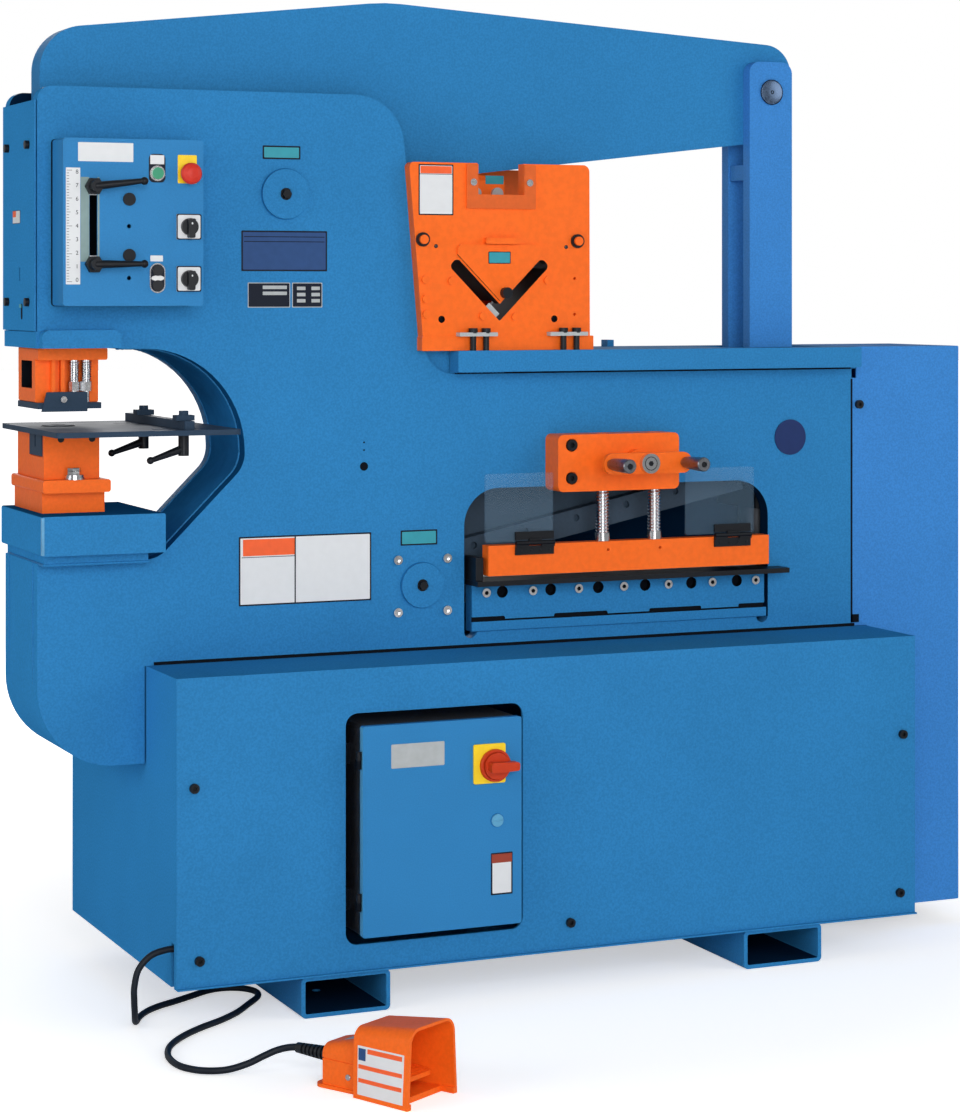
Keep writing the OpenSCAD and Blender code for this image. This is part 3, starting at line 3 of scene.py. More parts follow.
import bmesh
import bpy
from mathutils import Matrix, Vector
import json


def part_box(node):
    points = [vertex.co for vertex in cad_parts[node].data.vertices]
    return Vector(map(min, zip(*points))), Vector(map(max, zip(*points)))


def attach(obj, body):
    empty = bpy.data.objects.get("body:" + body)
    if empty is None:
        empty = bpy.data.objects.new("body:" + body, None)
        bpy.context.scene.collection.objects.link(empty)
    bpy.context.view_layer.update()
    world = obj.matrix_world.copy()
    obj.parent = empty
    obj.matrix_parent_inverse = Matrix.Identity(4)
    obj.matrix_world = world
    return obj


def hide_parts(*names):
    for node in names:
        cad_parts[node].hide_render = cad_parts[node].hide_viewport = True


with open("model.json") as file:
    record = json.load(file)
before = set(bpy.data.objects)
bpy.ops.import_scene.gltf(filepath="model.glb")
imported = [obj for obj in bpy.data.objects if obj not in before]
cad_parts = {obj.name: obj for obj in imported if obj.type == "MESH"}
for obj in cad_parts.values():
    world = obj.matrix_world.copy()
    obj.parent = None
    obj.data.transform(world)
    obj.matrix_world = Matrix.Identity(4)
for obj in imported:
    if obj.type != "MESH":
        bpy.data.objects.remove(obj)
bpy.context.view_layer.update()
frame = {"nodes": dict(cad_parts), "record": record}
NODES = frame["nodes"]
MM = 0.001
scene = bpy.context.scene


def node_box(name):
    """A node's lowest and highest corner, in millimetres."""
    lo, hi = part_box(name)
    return [v / MM for v in lo], [v / MM for v in hi]


# ---- camera ------------------------------------------------------------------

# worked out from the vanishing points of the machine's long edges in the photo
cam = bpy.data.objects.new("camera", bpy.data.cameras.new("camera"))
scene.collection.objects.link(cam)
cam.location = (-2.3016, -5.1925, 1.3573)
cam.rotation_euler = (math.radians(90), 0, math.radians(-23.55))
cam.data.sensor_fit = "AUTO"
cam.data.sensor_width = 36
cam.data.lens = 89.16
cam.data.shift_y = -0.239
cam.data.clip_end = 200
scene.camera = cam


# ---- materials ---------------------------------------------------------------


def new_material(name, base, rough=0.5, metal=0.0, **sockets):
    """A Principled material. Further sockets are given with _ for a space."""
    m = bpy.data.materials.new(name)
    m.use_nodes = True
    m.diffuse_color = (*base, 1)
    b = m.node_tree.nodes["Principled BSDF"]
    b.inputs["Base Color"].default_value = (*base, 1)
    b.inputs["Roughness"].default_value = rough
    b.inputs["Metallic"].default_value = metal
    for k, v in sockets.items():
        b.inputs[k.replace("_", " ")].default_value = v
    return m


def tools(m):
    """A material's nodes, links and shader."""
    n, l = m.node_tree.nodes, m.node_tree.links
    return n, l, n["Principled BSDF"]


def coords(m):
    return m.node_tree.nodes.new("ShaderNodeTexCoord").outputs["Object"]


def noise(m, scale, detail=3.0, rough=0.5, squash=None):
    """A noise texture in object space: scale is features per metre."""
    n, l, b = tools(m)
    t = n.new("ShaderNodeTexNoise")
    t.inputs["Scale"].default_value = scale
    t.inputs["Detail"].default_value = detail
    t.inputs["Roughness"].default_value = rough
    src = coords(m)
    if squash:
        mp = n.new("ShaderNodeMapping")
        mp.inputs["Scale"].default_value = squash
        l.new(src, mp.inputs["Vector"])
        src = mp.outputs["Vector"]
    l.new(src, t.inputs["Vector"])
    return t.outputs["Fac"]


def ramp(m, fac, stops):
    """A colour ramp with (position, colour) stops."""
    n, l, b = tools(m)
    r = n.new("ShaderNodeValToRGB")
    e = r.color_ramp.elements
    while len(e) < len(stops):
        e.new(0.5)
    for i, (p, c) in enumerate(stops):
        e[i].position = p
        e[i].color = (*c, 1)
    l.new(fac, r.inputs["Fac"])
    return r.outputs["Color"]


def grey(v):
    return (v, v, v)


def tint(c, k):
    return tuple(min(1, v * k) for v in c)


def add_bump(m, fac, strength, dist):
    """Bump from a texture, for grain too fine for geometry: dist is in metres."""
    n, l, b = tools(m)
    u = n.new("ShaderNodeBump")
    u.inputs["Strength"].default_value = strength
    u.inputs["Distance"].default_value = dist
    l.new(fac, u.inputs["Height"])
    l.new(u.outputs["Normal"], b.inputs["Normal"])


def paint(name, base, rough, peel, peel_scale, wear=0.06, metal=0.0, speckle=0.93, **k):
    """Sprayed or powder-coated metal: mottled colour, orange peel and rubbed patches."""
    m = new_material(name, base, rough, metal, **k)
    n, l, b = tools(m)
    mottle = noise(m, 3.0, 4, 0.6)
    col = ramp(m, mottle, [(0.3, tint(base, 1 - wear)), (0.7, tint(base, 1 + wear))])
    grain = noise(m, peel_scale, 2, 0.5)
    shade = ramp(m, grain, [(0.35, grey(speckle)), (0.65, grey(1.0))])
    mix = n.new("ShaderNodeMix")
    mix.data_type = "RGBA"
    mix.blend_type = "MULTIPLY"
    mix.inputs["Factor"].default_value = 1.0
    l.new(col, mix.inputs[6])
    l.new(shade, mix.inputs[7])
    l.new(mix.outputs[2], b.inputs["Base Color"])
    r = ramp(m, noise(m, 9.0, 5, 0.6), [(0.3, grey(rough - 0.05)), (0.75, grey(rough + 0.08))])
    l.new(r, b.inputs["Roughness"])
    add_bump(m, grain, peel, 0.0006)
    return m


BLUE = (0.03, 0.222, 0.51)
ORANGE = (1.0, 0.155, 0.012)


def powder_blue(name, base, shine=0.0):
    return paint(name, base, 0.46, 0.8, 260, 0.05, speckle=0.86, Specular_IOR_Level=shine)


blue = powder_blue("blue_powder_coat", BLUE, 0.05)
# the photo's light makes the left faces, the cover and the base's top another blue
lit_side_blue = powder_blue("painted_light_on_left_faces", (0.038, 0.27, 0.615))
lit_cover_blue = powder_blue("painted_light_on_the_cover", (0.053, 0.252, 0.655), 0.03)
shaded_base_top_blue = powder_blue("painted_shade_on_the_base_top", (0.032, 0.23, 0.5))
# painted shade: darker copies of the blue for the throat and the grooves, the tops and throat edges, and the
# inside of the frame
mid_shade_blue = paint("painted_shade_in_throat_and_grooves", (0.018, 0.165, 0.42), 0.5, 0.8, 60, 0.3, Specular_IOR_Level=0.0)
deep_shade_blue = paint("painted_shade_on_tops_and_throat_edges", (0.008, 0.09, 0.25), 0.5, 0.5, 260, 0.1, Specular_IOR_Level=0.0)
inside_shade_blue = paint("painted_shade_inside_the_frame", (0.003, 0.018, 0.05), 0.6, 0.3, 200, 0.1, Specular_IOR_Level=0.0)
# painted shade: a dark blue-grey for the blue arm, which lies in shade
arm_shade_grey = paint("painted_shade_on_the_arm", (0.04, 0.066, 0.1), 0.5, 0.3, 160, 0.2, Specular_IOR_Level=0.15)
smooth_blue = paint("blue_smooth_coat", BLUE, 0.42, 0.22, 380, 0.04, Specular_IOR_Level=0.14)
# painted highlight: a light blue for a lit edge
highlight_blue = paint("painted_highlight_blue", (0.1, 0.33, 0.58), 0.4, 0.4, 300, 0.8)
orange = paint("orange_enamel", ORANGE, 0.38, 0.12, 90, 0.04, Specular_IOR_Level=0.25)
deep_orange = paint("deeper_orange", (0.72, 0.125, 0.022), 0.42, 0.12, 90, 0.04, Specular_IOR_Level=0.2)
cast_orange = paint("orange_casting", ORANGE, 0.42, 0.3, 150, 0.06, Specular_IOR_Level=0.2)
black = paint("black_oxide", (0.007, 0.009, 0.013), 0.4, 0.15, 500, 0.2, metal=0.3, Specular_IOR_Level=0.3)
slate = paint("slate_paint", (0.026, 0.052, 0.092), 0.5, 0.3, 300, 0.15, Specular_IOR_Level=0.12)
plastic = paint("black_plastic", (0.006, 0.008, 0.012), 0.38, 0.2, 900, 0.1, Specular_IOR_Level=0.35)
rubber = paint("cable_rubber", (0.004, 0.008, 0.016), 0.5, 0.25, 700, 0.15, Specular_IOR_Level=0.25)


def metal(name, base, rough, along=(1, 1, 1), scale=900, bump=0.12):
    """Bare metal, brushed along the axis whose scale is small."""
    m = new_material(name, base, rough, 1.0)
    n, l, b = tools(m)
    g = noise(m, scale, 4, 0.7, along)
    l.new(ramp(m, g, [(0.3, tint(base, 0.8)), (0.7, tint(base, 1.08))]), b.inputs["Base Color"])
    l.new(ramp(m, g, [(0.25, grey(rough - 0.07)), (0.8, grey(rough + 0.12))]), b.inputs["Roughness"])
    add_bump(m, g, bump, 0.0002)
    return m


steel = metal("ground_steel", (0.55, 0.56, 0.58), 0.3, (1, 1, 0.06))
bar_steel = metal("blade_steel", (0.3, 0.31, 0.34), 0.36, (0.05, 1, 1))
chrome = metal("bright_plating", (0.72, 0.73, 0.75), 0.14, (1, 1, 1), 300, 0.03)
dark_steel = metal("dark_blade_steel", (0.07, 0.075, 0.085), 0.42, (1, 1, 0.1))
pin_steel = metal("pin_steel", (0.1, 0.15, 0.24), 0.28, (1, 1, 1), 200)
grip_steel = metal("grip_steel", (0.2, 0.21, 0.23), 0.3, (1, 1, 1), 200)


def simple(name, base, rough=0.4, wear=0.05, **k):
    """A small moulded or printed surface with slight mottle."""
    m = new_material(name, base, rough, **k)
    n, l, b = tools(m)
    g = noise(m, 60, 3)
    l.new(ramp(m, g, [(0.3, tint(base, 1 - wear)), (0.7, tint(base, 1 + wear))]), b.inputs["Base Color"])
    add_bump(m, noise(m, 700, 2), 0.08, 0.0002)
    return m


red = simple("red_plastic", (0.6, 0.03, 0.015), 0.4, Specular_IOR_Level=0.3)
rotary_red = simple("orange_red_plastic", (0.55, 0.04, 0.006), 0.4, Specular_IOR_Level=0.3)
# the latch's lighter blue, also a painted highlight on the door's left edge
latch_blue_and_highlight = simple("latch_blue_and_highlight", (0.1, 0.36, 0.58), 0.3)
green = simple("green_plastic", (0.03, 0.3, 0.16), 0.35)
white = simple("white_plastic", (0.75, 0.76, 0.76), 0.4)
yellow = simple("yellow_plastic", (0.95, 0.66, 0.01), 0.4)
label_white = simple("white_label", (0.72, 0.74, 0.76), 0.45, wear=0.015)
sign_red = simple("sign_red", (0.3, 0.035, 0.012), 0.5)
label_grey = simple("grey_label", (0.42, 0.45, 0.46), 0.4)
label_black = simple("black_label", (0.004, 0.008, 0.02), 0.4, Specular_IOR_Level=0.2)
label_navy = simple("navy_label", (0.028, 0.075, 0.21), 0.45, Specular_IOR_Level=0.15)
label_teal = simple("teal_label", (0.02, 0.3, 0.38), 0.4)
label_orange = simple("orange_label", (0.9, 0.11, 0.015), 0.45)
strip_green = simple("strip_green", (0.2, 0.3, 0.3), 0.45)
navy = simple("navy_disc", (0.01, 0.028, 0.12), 0.4, Specular_IOR_Level=0.2)
# painted shade: near black for holes, slots and gaps, and the colour of dark joints
dark = simple("painted_shade_and_dark_joints", (0.004, 0.006, 0.01), 0.7, Specular_IOR_Level=0.05)


def clear_plastic():
    """The clear guards, with faint smears."""
    m = new_material("clear_polycarbonate", (0.25, 0.42, 0.6), 0.06, 0.0, Alpha=0.09, IOR=1.5)
    n, l, b = tools(m)
    l.new(ramp(m, noise(m, 14, 4), [(0.3, grey(0.05)), (0.8, grey(0.14))]), b.inputs["Roughness"])
    add_bump(m, noise(m, 25, 2), 0.02, 0.0005)
    return m


clear = clear_plastic()

# materials by the record's slots, and the nodes that differ from their slot
BY_SLOT = {
    "blue_paint": blue,
    "orange_paint": orange,
    "black_parts": black,
    "bright_steel": steel,
    "dark_paint": slate,
    "cable_rubber": rubber,
    "black_plastic": plastic,
    "clear_guard": clear,
    "red_plastic": red,
    "green_plastic": green,
    "white_plastic": white,
}
SPECIAL = {
    "plated_fasteners": chrome,
    "lead_screws": chrome,
    "crank_grip_left": grip_steel,
    "crank_grip_right": grip_steel,
    "fixed_blades": bar_steel,
    "control_box": smooth_blue,
    "electrical_door": smooth_blue,
    "die_holder": cast_orange,
    "stripper_body": cast_orange,
    "foot_switch_body": cast_orange,
    "treadle": cast_orange,
    "selector_upper": plastic,
    "selector_lower": plastic,
    "door_latch": latch_blue_and_highlight,
    "disconnect_handle": rotary_red,
    "stripper_plate": slate,
    "jog_up": plastic,
    # painted shade on the arm, and painted light on the column's cover and straps
    "shear_arm": arm_shade_grey,
    "column_housing": lit_cover_blue,
    "column_straps": lit_cover_blue,
    "lift_rod": dark_steel,
}

for part in frame["record"]["subparts"]:
    o = NODES[part["node"]]
    m = SPECIAL.get(part["node"], BY_SLOT[part["material_slot"]])
    if not o.material_slots:
        o.data.materials.append(m)
    for s in o.material_slots:
        s.material = m


def paint_faces(node, m, test):
    """Gives the faces of a CAD node whose centre passes the test another material."""
    o = NODES[node]
    o.data.materials.append(m)
    k = len(o.data.materials) - 1
    for f in o.data.polygons:
        if test(f.center / MM, f.normal):
            f.material_index = k


def near(c, x, z, r):
    """Whether a centre is within r of a line along Y."""
    return math.hypot(c[0] - x, c[2] - z) < r


def inside(c, x0, x1, z0, z1):
    return x0 < c[0] < x1 and z0 < c[2] < z1


# places that the solids share with the pieces below, in millimetres
UPPER_PIVOT = (-522, 1543)
LOWER_PIVOT = (-237, 776)
PIVOT_R = (48, 44)
V_APEX = (-80, 1296)
ANGLE_HOLES_X = (-205, 40)
ANGLE_HOLES_Z = 1300
HOLDER_BOLTS = [(-100 + i * 101.8, 755) for i in range(7)]
HOLDER_HOLES = [(-63 + i * 106.5, 755) for i in range(6)]
DIE_X = -938
BUTTONS_Z = 1575
START_X = -804
STOP_X = -743
PLUGS = ((-858, 1526), (-858, 1422))
SKID_X = 469
GEAR_FACE = -228
GUARD_FACE = -213.1
BAR_FACE = -213.2
RAM_FACE = -118
plate_face = node_box("front_plate")[0][1]
angle_face = plate_face - 25
box_front = node_box("control_box")[0][1] + 4
door_face = node_box("electrical_door")[0][1] + 4
holder_top = node_box("blade_holder")[1][2]
die_top = node_box("die_holder")[1][2]


def in_v_slot(c, n):
    """Whether a face lies in the V slot: rise is its height over the V's lines."""
    rise = c[2] - V_APEX[1] - abs(c[0] - V_APEX[0])
    return abs(n[1]) < 0.5 and -3 < rise < 46 and abs(c[0] - V_APEX[0]) < 118 and c[2] < 1428


def paint_frame():
    """Gives the frame's plates lit and shaded blues by the side that they face: painted light on the left
    faces, and painted shade on the tops, in the throat and inside.
    """
    for node in "base_cabinet", "base_front_panel":
        paint_faces(node, lit_side_blue, lambda c, n: n[0] < -0.6)
        paint_faces(node, shaded_base_top_blue, lambda c, n: n[2] > 0.7)
    for node in "nose_cover", "front_plate", "back_plate", "frame_webs", "ram_housing", "anvil_block":
        paint_faces(node, lit_side_blue, lambda c, n: n[0] < -0.6 and c[0] < -930)
    paint_faces("frame_webs", mid_shade_blue, lambda c, n: c[0] < -560 and c[2] > 820)
    # painted shade: the plates' inner faces and the skids' insides are nearly black
    paint_faces("back_plate", inside_shade_blue, lambda c, n: n[1] < -0.5)
    paint_faces("front_plate", inside_shade_blue, lambda c, n: n[1] > 0.5)
    # painted shade: the front plate's edge round the throat, and the right end of the bar shear window
    paint_faces("front_plate", deep_shade_blue,
        lambda c, n: abs(n[1]) < 0.6 and n[0] < 0.3 and inside(c, -1000, -560, 780, 1285))
    paint_faces("front_plate", inside_shade_blue, lambda c, n: n[0] < -0.3 and inside(c, 500, 620, 690, 1015))
    # painted shade on the anvil block's top
    paint_faces("anvil_block", deep_shade_blue, lambda c, n: n[2] > 0.7)
    paint_faces("skid_tubes", inside_shade_blue,
        lambda c, n: 5 < c[2] < 71 and abs(abs(c[0]) - SKID_X) < 80 and abs(n[1]) < 0.5)
    paint_faces("pivot_pins", navy, lambda c, n: c[0] > 500)
    for x, z in UPPER_PIVOT, LOWER_PIVOT:
        paint_faces("pivot_pins", black, lambda c, n: near(c, x, z, 10) and c[1] < plate_face - 3.9)
    # the four bolts round the lower pivot
    paint_faces("pivot_pins", chrome,
        lambda c, n: c[1] < plate_face - 0.2 and near(c, *LOWER_PIVOT, 90) and not near(c, *LOWER_PIVOT, 60))


def paint_bar_shear():
    """The hold-down, guards, lower blade's holder and crank."""
    paint_faces("hold_down_bar", black, lambda c, n: c[1] < BAR_FACE)
    for node in "guard_left", "guard_right":
        paint_faces(node, black, lambda c, n: c[1] < GUARD_FACE)
    paint_faces("blade_holder", black, lambda c, n: c[2] > holder_top - 10.4 or c[0] > 537)
    # painted shade: dark insides of the holder's holes, and of the gap above its lower strip
    paint_faces("blade_holder", dark,
        lambda c, n: any(near(c, x, z, 12.3) for x, z in HOLDER_HOLES) and c[1] < plate_face + 14.1)
    paint_faces("blade_holder", dark,
        lambda c, n: 697.9 < c[2] < 707.2 and (c[1] > plate_face + 0.5 or abs(n[1]) < 0.5))
    paint_faces("black_bolts", chrome, lambda c, n: any(near(c, x, z, 9.5) for x, z in HOLDER_BOLTS))
    # painted shade: dark sockets in the holder's bolts
    paint_faces("black_bolts", dark, lambda c, n: any(near(c, x, z, 4.7) for x, z in HOLDER_BOLTS))
    paint_faces("crank_bar", chrome, lambda c, n: c[1] < GEAR_FACE - 60.1)


def paint_angle_shear():
    """The orange plate with its slot, holes and recess, the ram and the clamps."""
    for node in "angle_shear_plate", "angle_blade_block":
        paint_faces(node, dark_steel, in_v_slot)
    # painted shade: dark insides of the plate's two holes
    paint_faces("angle_shear_plate", dark,
        lambda c, n: c[1] > angle_face + 0.1 and any(near(c, x, ANGLE_HOLES_Z, 7.5) for x in ANGLE_HOLES_X))
    # the recess over the ram
    paint_faces("angle_shear_plate", deep_orange,
        lambda c, n: c[1] < angle_face - 4.9 and c[2] > 1515 and n[1] < -0.9 and -160 < c[0] < 4)
    paint_faces("angle_ram", label_grey, lambda c, n: c[1] < RAM_FACE - 0.01)
    paint_faces("angle_stop_clamps", label_grey, lambda c, n: 1264 < c[2] < 1275)


def paint_punch_station():
    """The stripper's opening, and the die with its holder's top."""
    # painted shade: the faces inside the stripper's opening are made dark
    paint_faces("stripper_body", dark,
        lambda c, n: -998.8 < c[0] < -968.5 and -86.5 < c[1] < -5.5 and 1171 < c[2] < 1225)
    paint_faces("die_holder", dark_steel,
        lambda c, n: c[2] > die_top - 22 and math.hypot(c[0] - DIE_X, c[1] + 46) < 60)
    paint_faces("die_holder", slate, lambda c, n: n[2] > 0.5 and c[2] > die_top - 12)


def paint_electrics():
    """The electrical cabinet, its door and the control box."""
    paint_faces("electrical_door", yellow,
        lambda c, n: c[1] < door_face - 0.1 and inside(c, -227, -159, 419, 496))
    paint_faces("electrical_door", black, lambda c, n: c[0] < -450.2)
    # painted highlight: the door's left side face gets the latch's lighter blue
    paint_faces("electrical_door", latch_blue_and_highlight, lambda c, n: n[0] < -0.7 and -450.15 < c[0] < -449)
    # painted shade: the box's parts seen beside the door are made dark
    paint_faces("electrical_box", dark, lambda c, n: c[0] < -450.5 or c[0] > -124.5)
    for m, test in (
        (chrome, lambda c: near(c, START_X, BUTTONS_Z, 15) or inside(c, -820, -788, 1350, 1410)),
        (yellow, lambda c: near(c, STOP_X, BUTTONS_Z, 15)),
        (label_grey, lambda c: inside(c, -768, -718, 1350, 1502)),
        (black, lambda c: any(near(c, x, z, 13) for x, z in PLUGS)),
    ):
        paint_faces("control_box", m, lambda c, n: c[1] < box_front - 0.2 and test(c))


paint_frame()
paint_bar_shear()
paint_angle_shear()
paint_punch_station()
paint_electrics()


# ---- mesh helpers ------------------------------------------------------------


def add_piece(name, bm, material, body="frame", smooth=30, bevel=0.0):
    """Makes a piece from a mesh in millimetres and lets it ride a body."""
    me = bpy.data.meshes.new(name)
    bm.normal_update()
    bm.to_mesh(me)
    bm.free()
    me.transform(Matrix.Scale(MM, 4))
    o = bpy.data.objects.new(name, me)
    scene.collection.objects.link(o)
    for m in material if isinstance(material, (list, tuple)) else [material]:
        me.materials.append(m)
    if bevel:
        b = o.modifiers.new("edge", "BEVEL")
        b.width = bevel * MM
        b.segments = 2
        b.limit_method = "ANGLE"
        b.angle_limit = math.radians(40)
    if smooth:
        for f in me.polygons:
            f.use_smooth = True
        me.set_sharp_from_angle(angle=math.radians(smooth))
    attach(o, body)
    return o


def box_points(x0, x1, z0, z1):
    """The outline of a rectangle."""
    return [(x0, z0), (x1, z0), (x1, z1), (x0, z1)]


def rounded(x0, x1, z0, z1, r):
    """The outline of a rounded rectangle."""
    n = 5
    r = max(0.01, min(r, (x1 - x0) / 2 - 0.01, (z1 - z0) / 2 - 0.01))
    out = []
    corners = ((x1 - r, z0 + r, -90), (x1 - r, z1 - r, 0), (x0 + r, z1 - r, 90), (x0 + r, z0 + r, 180))
    for cx, cz, a in corners:
        for i in range(n + 1):
            t = math.radians(a + 90 * i / n)
            out.append((cx + r * math.cos(t), cz + r * math.sin(t)))
    return out


def prism(bm, pts, y0, y1, mat=0):
    """A plate with its outline in the XZ plane, from y0 (front) to y1."""
    a = [bm.verts.new((x, y0, z)) for x, z in pts]
    b = [bm.verts.new((x, y1, z)) for x, z in pts]
    n = len(pts)
    fs = [bm.faces.new(a), bm.faces.new(b[::-1])]
    fs += [bm.faces.new((a[i], b[i], b[(i + 1) % n], a[(i + 1) % n])) for i in range(n)]
    for f in fs:
        f.material_index = mat


def circle(x, z, r, n=32):
    """Points round a centre."""
    return [(x + r * math.cos(math.tau * i / n), z + r * math.sin(math.tau * i / n)) for i in range(n)]


def lathe(bm, profile, place, n=32, mat=0):
    """Turns (radius, height) points about local Z and places the result with a matrix."""
    rings = []
    for r, h in profile:
        points = circle(0, 0, r, n) if r else [(0, 0)]
        rings.append([bm.verts.new(place @ Vector((x, y, h))) for x, y in points])
    for a, b in zip(rings, rings[1:]):
        for k in range(n):
            j = (k + 1) % n
            # a ring of one point gives a triangle
            corners = list(dict.fromkeys([a[k % len(a)], a[j % len(a)], b[j % len(b)], b[k % len(b)]]))
            if len(corners) > 2:
                bm.faces.new(corners).material_index = mat


def groove(bm, place, r, width, y0, y1, n, mat=0):
    """A flat ring that stands for a groove, drawn in a darker material as painted shade: r is its inner
    radius.
    """
    lathe(bm, [(r, y0), (r, y1), (r + width, y1), (r + width, y0)], place, n, mat)


def to_front(x, y, z):
    """A matrix that puts local Z along -Y, towards the operator."""
    return Matrix.Translation((x, y, z)) @ Matrix.Rotation(math.radians(90), 4, "X")


# ---- the foot switch cable ---------------------------------------------------

CABLE = [
    (-792, -334, 148), (-811, -334, 148), (-841, -334, 140), (-864, -334, 117),
    (-872, -334, 86), (-872, -333, 62), (-868, -323, 36), (-861, -302, 15), (-850, -274, 7),
    (-834, -242, 6.5), (-810, -211, 6.5), (-780, -186, 6.5), (-742, -164, 6.5),
    (-702, -139, 6.5), (-664, -115, 6.5), (-635, -107, 6.5), (-606, -114, 6.5),
    (-585, -135, 6.5), (-578, -164, 6.5), (-588, -196, 6.5), (-623, -242, 6.5),
    (-660, -288, 6.5), (-704, -328, 6.5), (-756, -365, 6.5), (-804, -408, 6.5),
    (-842, -458, 6.5), (-863, -512, 6.5), (-868, -560, 6.5), (-861, -598, 6.5),
    (-838, -632, 7), (-802, -651, 9), (-766, -658, 17), (-736, -660, 28), (-714, -663, 36),
    (-696, -671, 41), (-684, -684, 44), (-679, -693, 44),
]


def catmull(p, steps):
    """A smooth line through the points, with steps pieces between two of them."""
    out = []
    for i in range(len(p) - 1):
        a, b, c, d = (Vector(p[max(0, min(len(p) - 1, j))]) for j in (i - 1, i, i + 1, i + 2))
        for k in range(steps):
            t = k / steps
            bend, twist = 2 * a - 5 * b + 4 * c - d, 3 * b - a - 3 * c + d
            out.append(0.5 * (2 * b + (c - a) * t + bend * t * t + twist * t ** 3))
    return out + [Vector(p[-1])]


line = catmull(CABLE, 6)
curve = bpy.data.curves.new("foot_switch_cable_run", "CURVE")
curve.dimensions = "3D"
curve.bevel_depth = 0.006
curve.bevel_resolution = 5
curve.use_fill_caps = True
run = curve.splines.new("POLY")
run.points.add(len(line) - 1)
for q, p in zip(run.points, line):
    q.co = (*(p * MM), 1)
curve.materials.append(rubber)
cable = bpy.data.objects.new("foot_switch_cable_run", curve)
scene.collection.objects.link(cable)
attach(cable, "frame")
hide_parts("foot_switch_cable")

# ---- plates and labels -------------------------------------------------------


def label(name, x0, x1, z0, z1, y, face, edge=None, body="frame", border=3.0, r=1.5, t=0.6, bars=(),
        turn=None):
    """A thin bare plate that looks to -Y, with a border and plain fields.

    A bar is (left, right, bottom, top, material), in shares of the plate."""
    bm = bmesh.new()
    mats = [edge or face, face]
    prism(bm, rounded(x0, x1, z0, z1, r), y - t, y + 0.2, 0)
    if edge:
        inner = rounded(x0 + border, x1 - border, z0 + border, z1 - border, r)
        prism(bm, inner, y - t - 0.15, y - t + 0.05, 1)
    for u0, u1, v0, v1, m in bars:
        w, h = x1 - x0, z1 - z0
        if m not in mats:
            mats.append(m)
        field = rounded(x0 + u0 * w, x0 + u1 * w, z0 + v0 * h, z0 + v1 * h, 0.5)
        prism(bm, field, y - t - 0.3, y - t, mats.index(m))
    if turn:
        bm.transform(turn)
    add_piece(name, bm, mats, body, smooth=0)


# the front plate
label("teal_plate_upper", -568, -491, 1610, 1636, plate_face, label_teal, label_black)
label("teal_plate_lower", -282, -204, 855, 885, plate_face, label_teal, label_black)
label("data_plate", -611, -436, 1394, 1472, plate_face, label_navy, label_black,
    bars=[(0.03, 0.97, v, v + 0.02, label_black) for v in (0.84, 0.72)])
label("serial_plate", -598, -512, 1324, 1372, plate_face, label_black, label_grey, border=1.5,
    bars=[(0.35, 0.92, v, v + 0.14, label_grey) for v in (0.74, 0.5)])
label("rating_plate", -508, -446, 1324, 1372, plate_face, label_black, label_grey, border=1.5,
    bars=[(u, u + 0.28, v, v + 0.14, label_grey) for u in (0.16, 0.64) for v in (0.2, 0.45, 0.7)])
label("sign_plate", -616, -344, 751, 884, plate_face, label_white, label_black, bars=[
    (0.03, 0.42, 0.72, 0.96, label_orange),
    (0.415, 0.425, 0.02, 0.98, label_black),
    (0.02, 0.42, 0.695, 0.705, label_black),
])

# the door
label("door_plate", -393, -285, 461, 506, door_face, label_grey, body="electrical_door", r=2)
label("door_sign", -189, -144, 206, 286, door_face, label_white, label_black, "electrical_door",
    bars=[(0.03, 0.97, 0.76, 0.97, sign_red)])

# the control box
label("flag_plate", -955, -850, 1595, 1630, box_front, label_white, r=1)
label("start_backing", START_X - 16, START_X + 16, 1558, 1611, box_front, label_black, r=9,
    bars=[(0.08, 0.92, 0.64, 0.96, label_white)])
label("stop_backing", -764, -727, 1557, 1610, box_front, yellow, r=2)
label("jog_plate", -817, -793, 1411, 1422, box_front, label_white, r=1)
label("jog_inlay", -817, -791, 1354.5, 1405.5, box_front - 3, label_black, r=13, t=0.4)
for which, z in ("upper", 1476), ("lower", 1378.5):
    label(f"selector_face_{which}", STOP_X - 24, STOP_X + 24, z - 24, z + 24, box_front - 3, label_white,
        label_black, border=2, r=3)
    label(f"selector_mark_{which}", STOP_X - 1.4, STOP_X + 1.4, z + 4, z + 8, box_front - 24, label_white,
        body=f"selector_{which}", t=0.3)


def slot_strip():
    """The pale strip round the slot of the stroke stops."""
    bm = bmesh.new()
    for x0, x1 in (-950, -934), (-918, -914.5):
        prism(bm, box_points(x0, x1, 1410, 1566), box_front - 0.2, box_front + 0.2)
    add_piece("slot_strip", bm, strip_green, smooth=0)


def jog_lens():
    """The oval lens between the two jog buttons."""
    bm = bmesh.new()
    oval = [(START_X + 12.5 * x, 1379.8 + 5.2 * z) for x, z in circle(0, 0, 1)]
    prism(bm, oval, box_front - 5.4, box_front - 3)
    add_piece("jog_lens", bm, white, bevel=0.8)


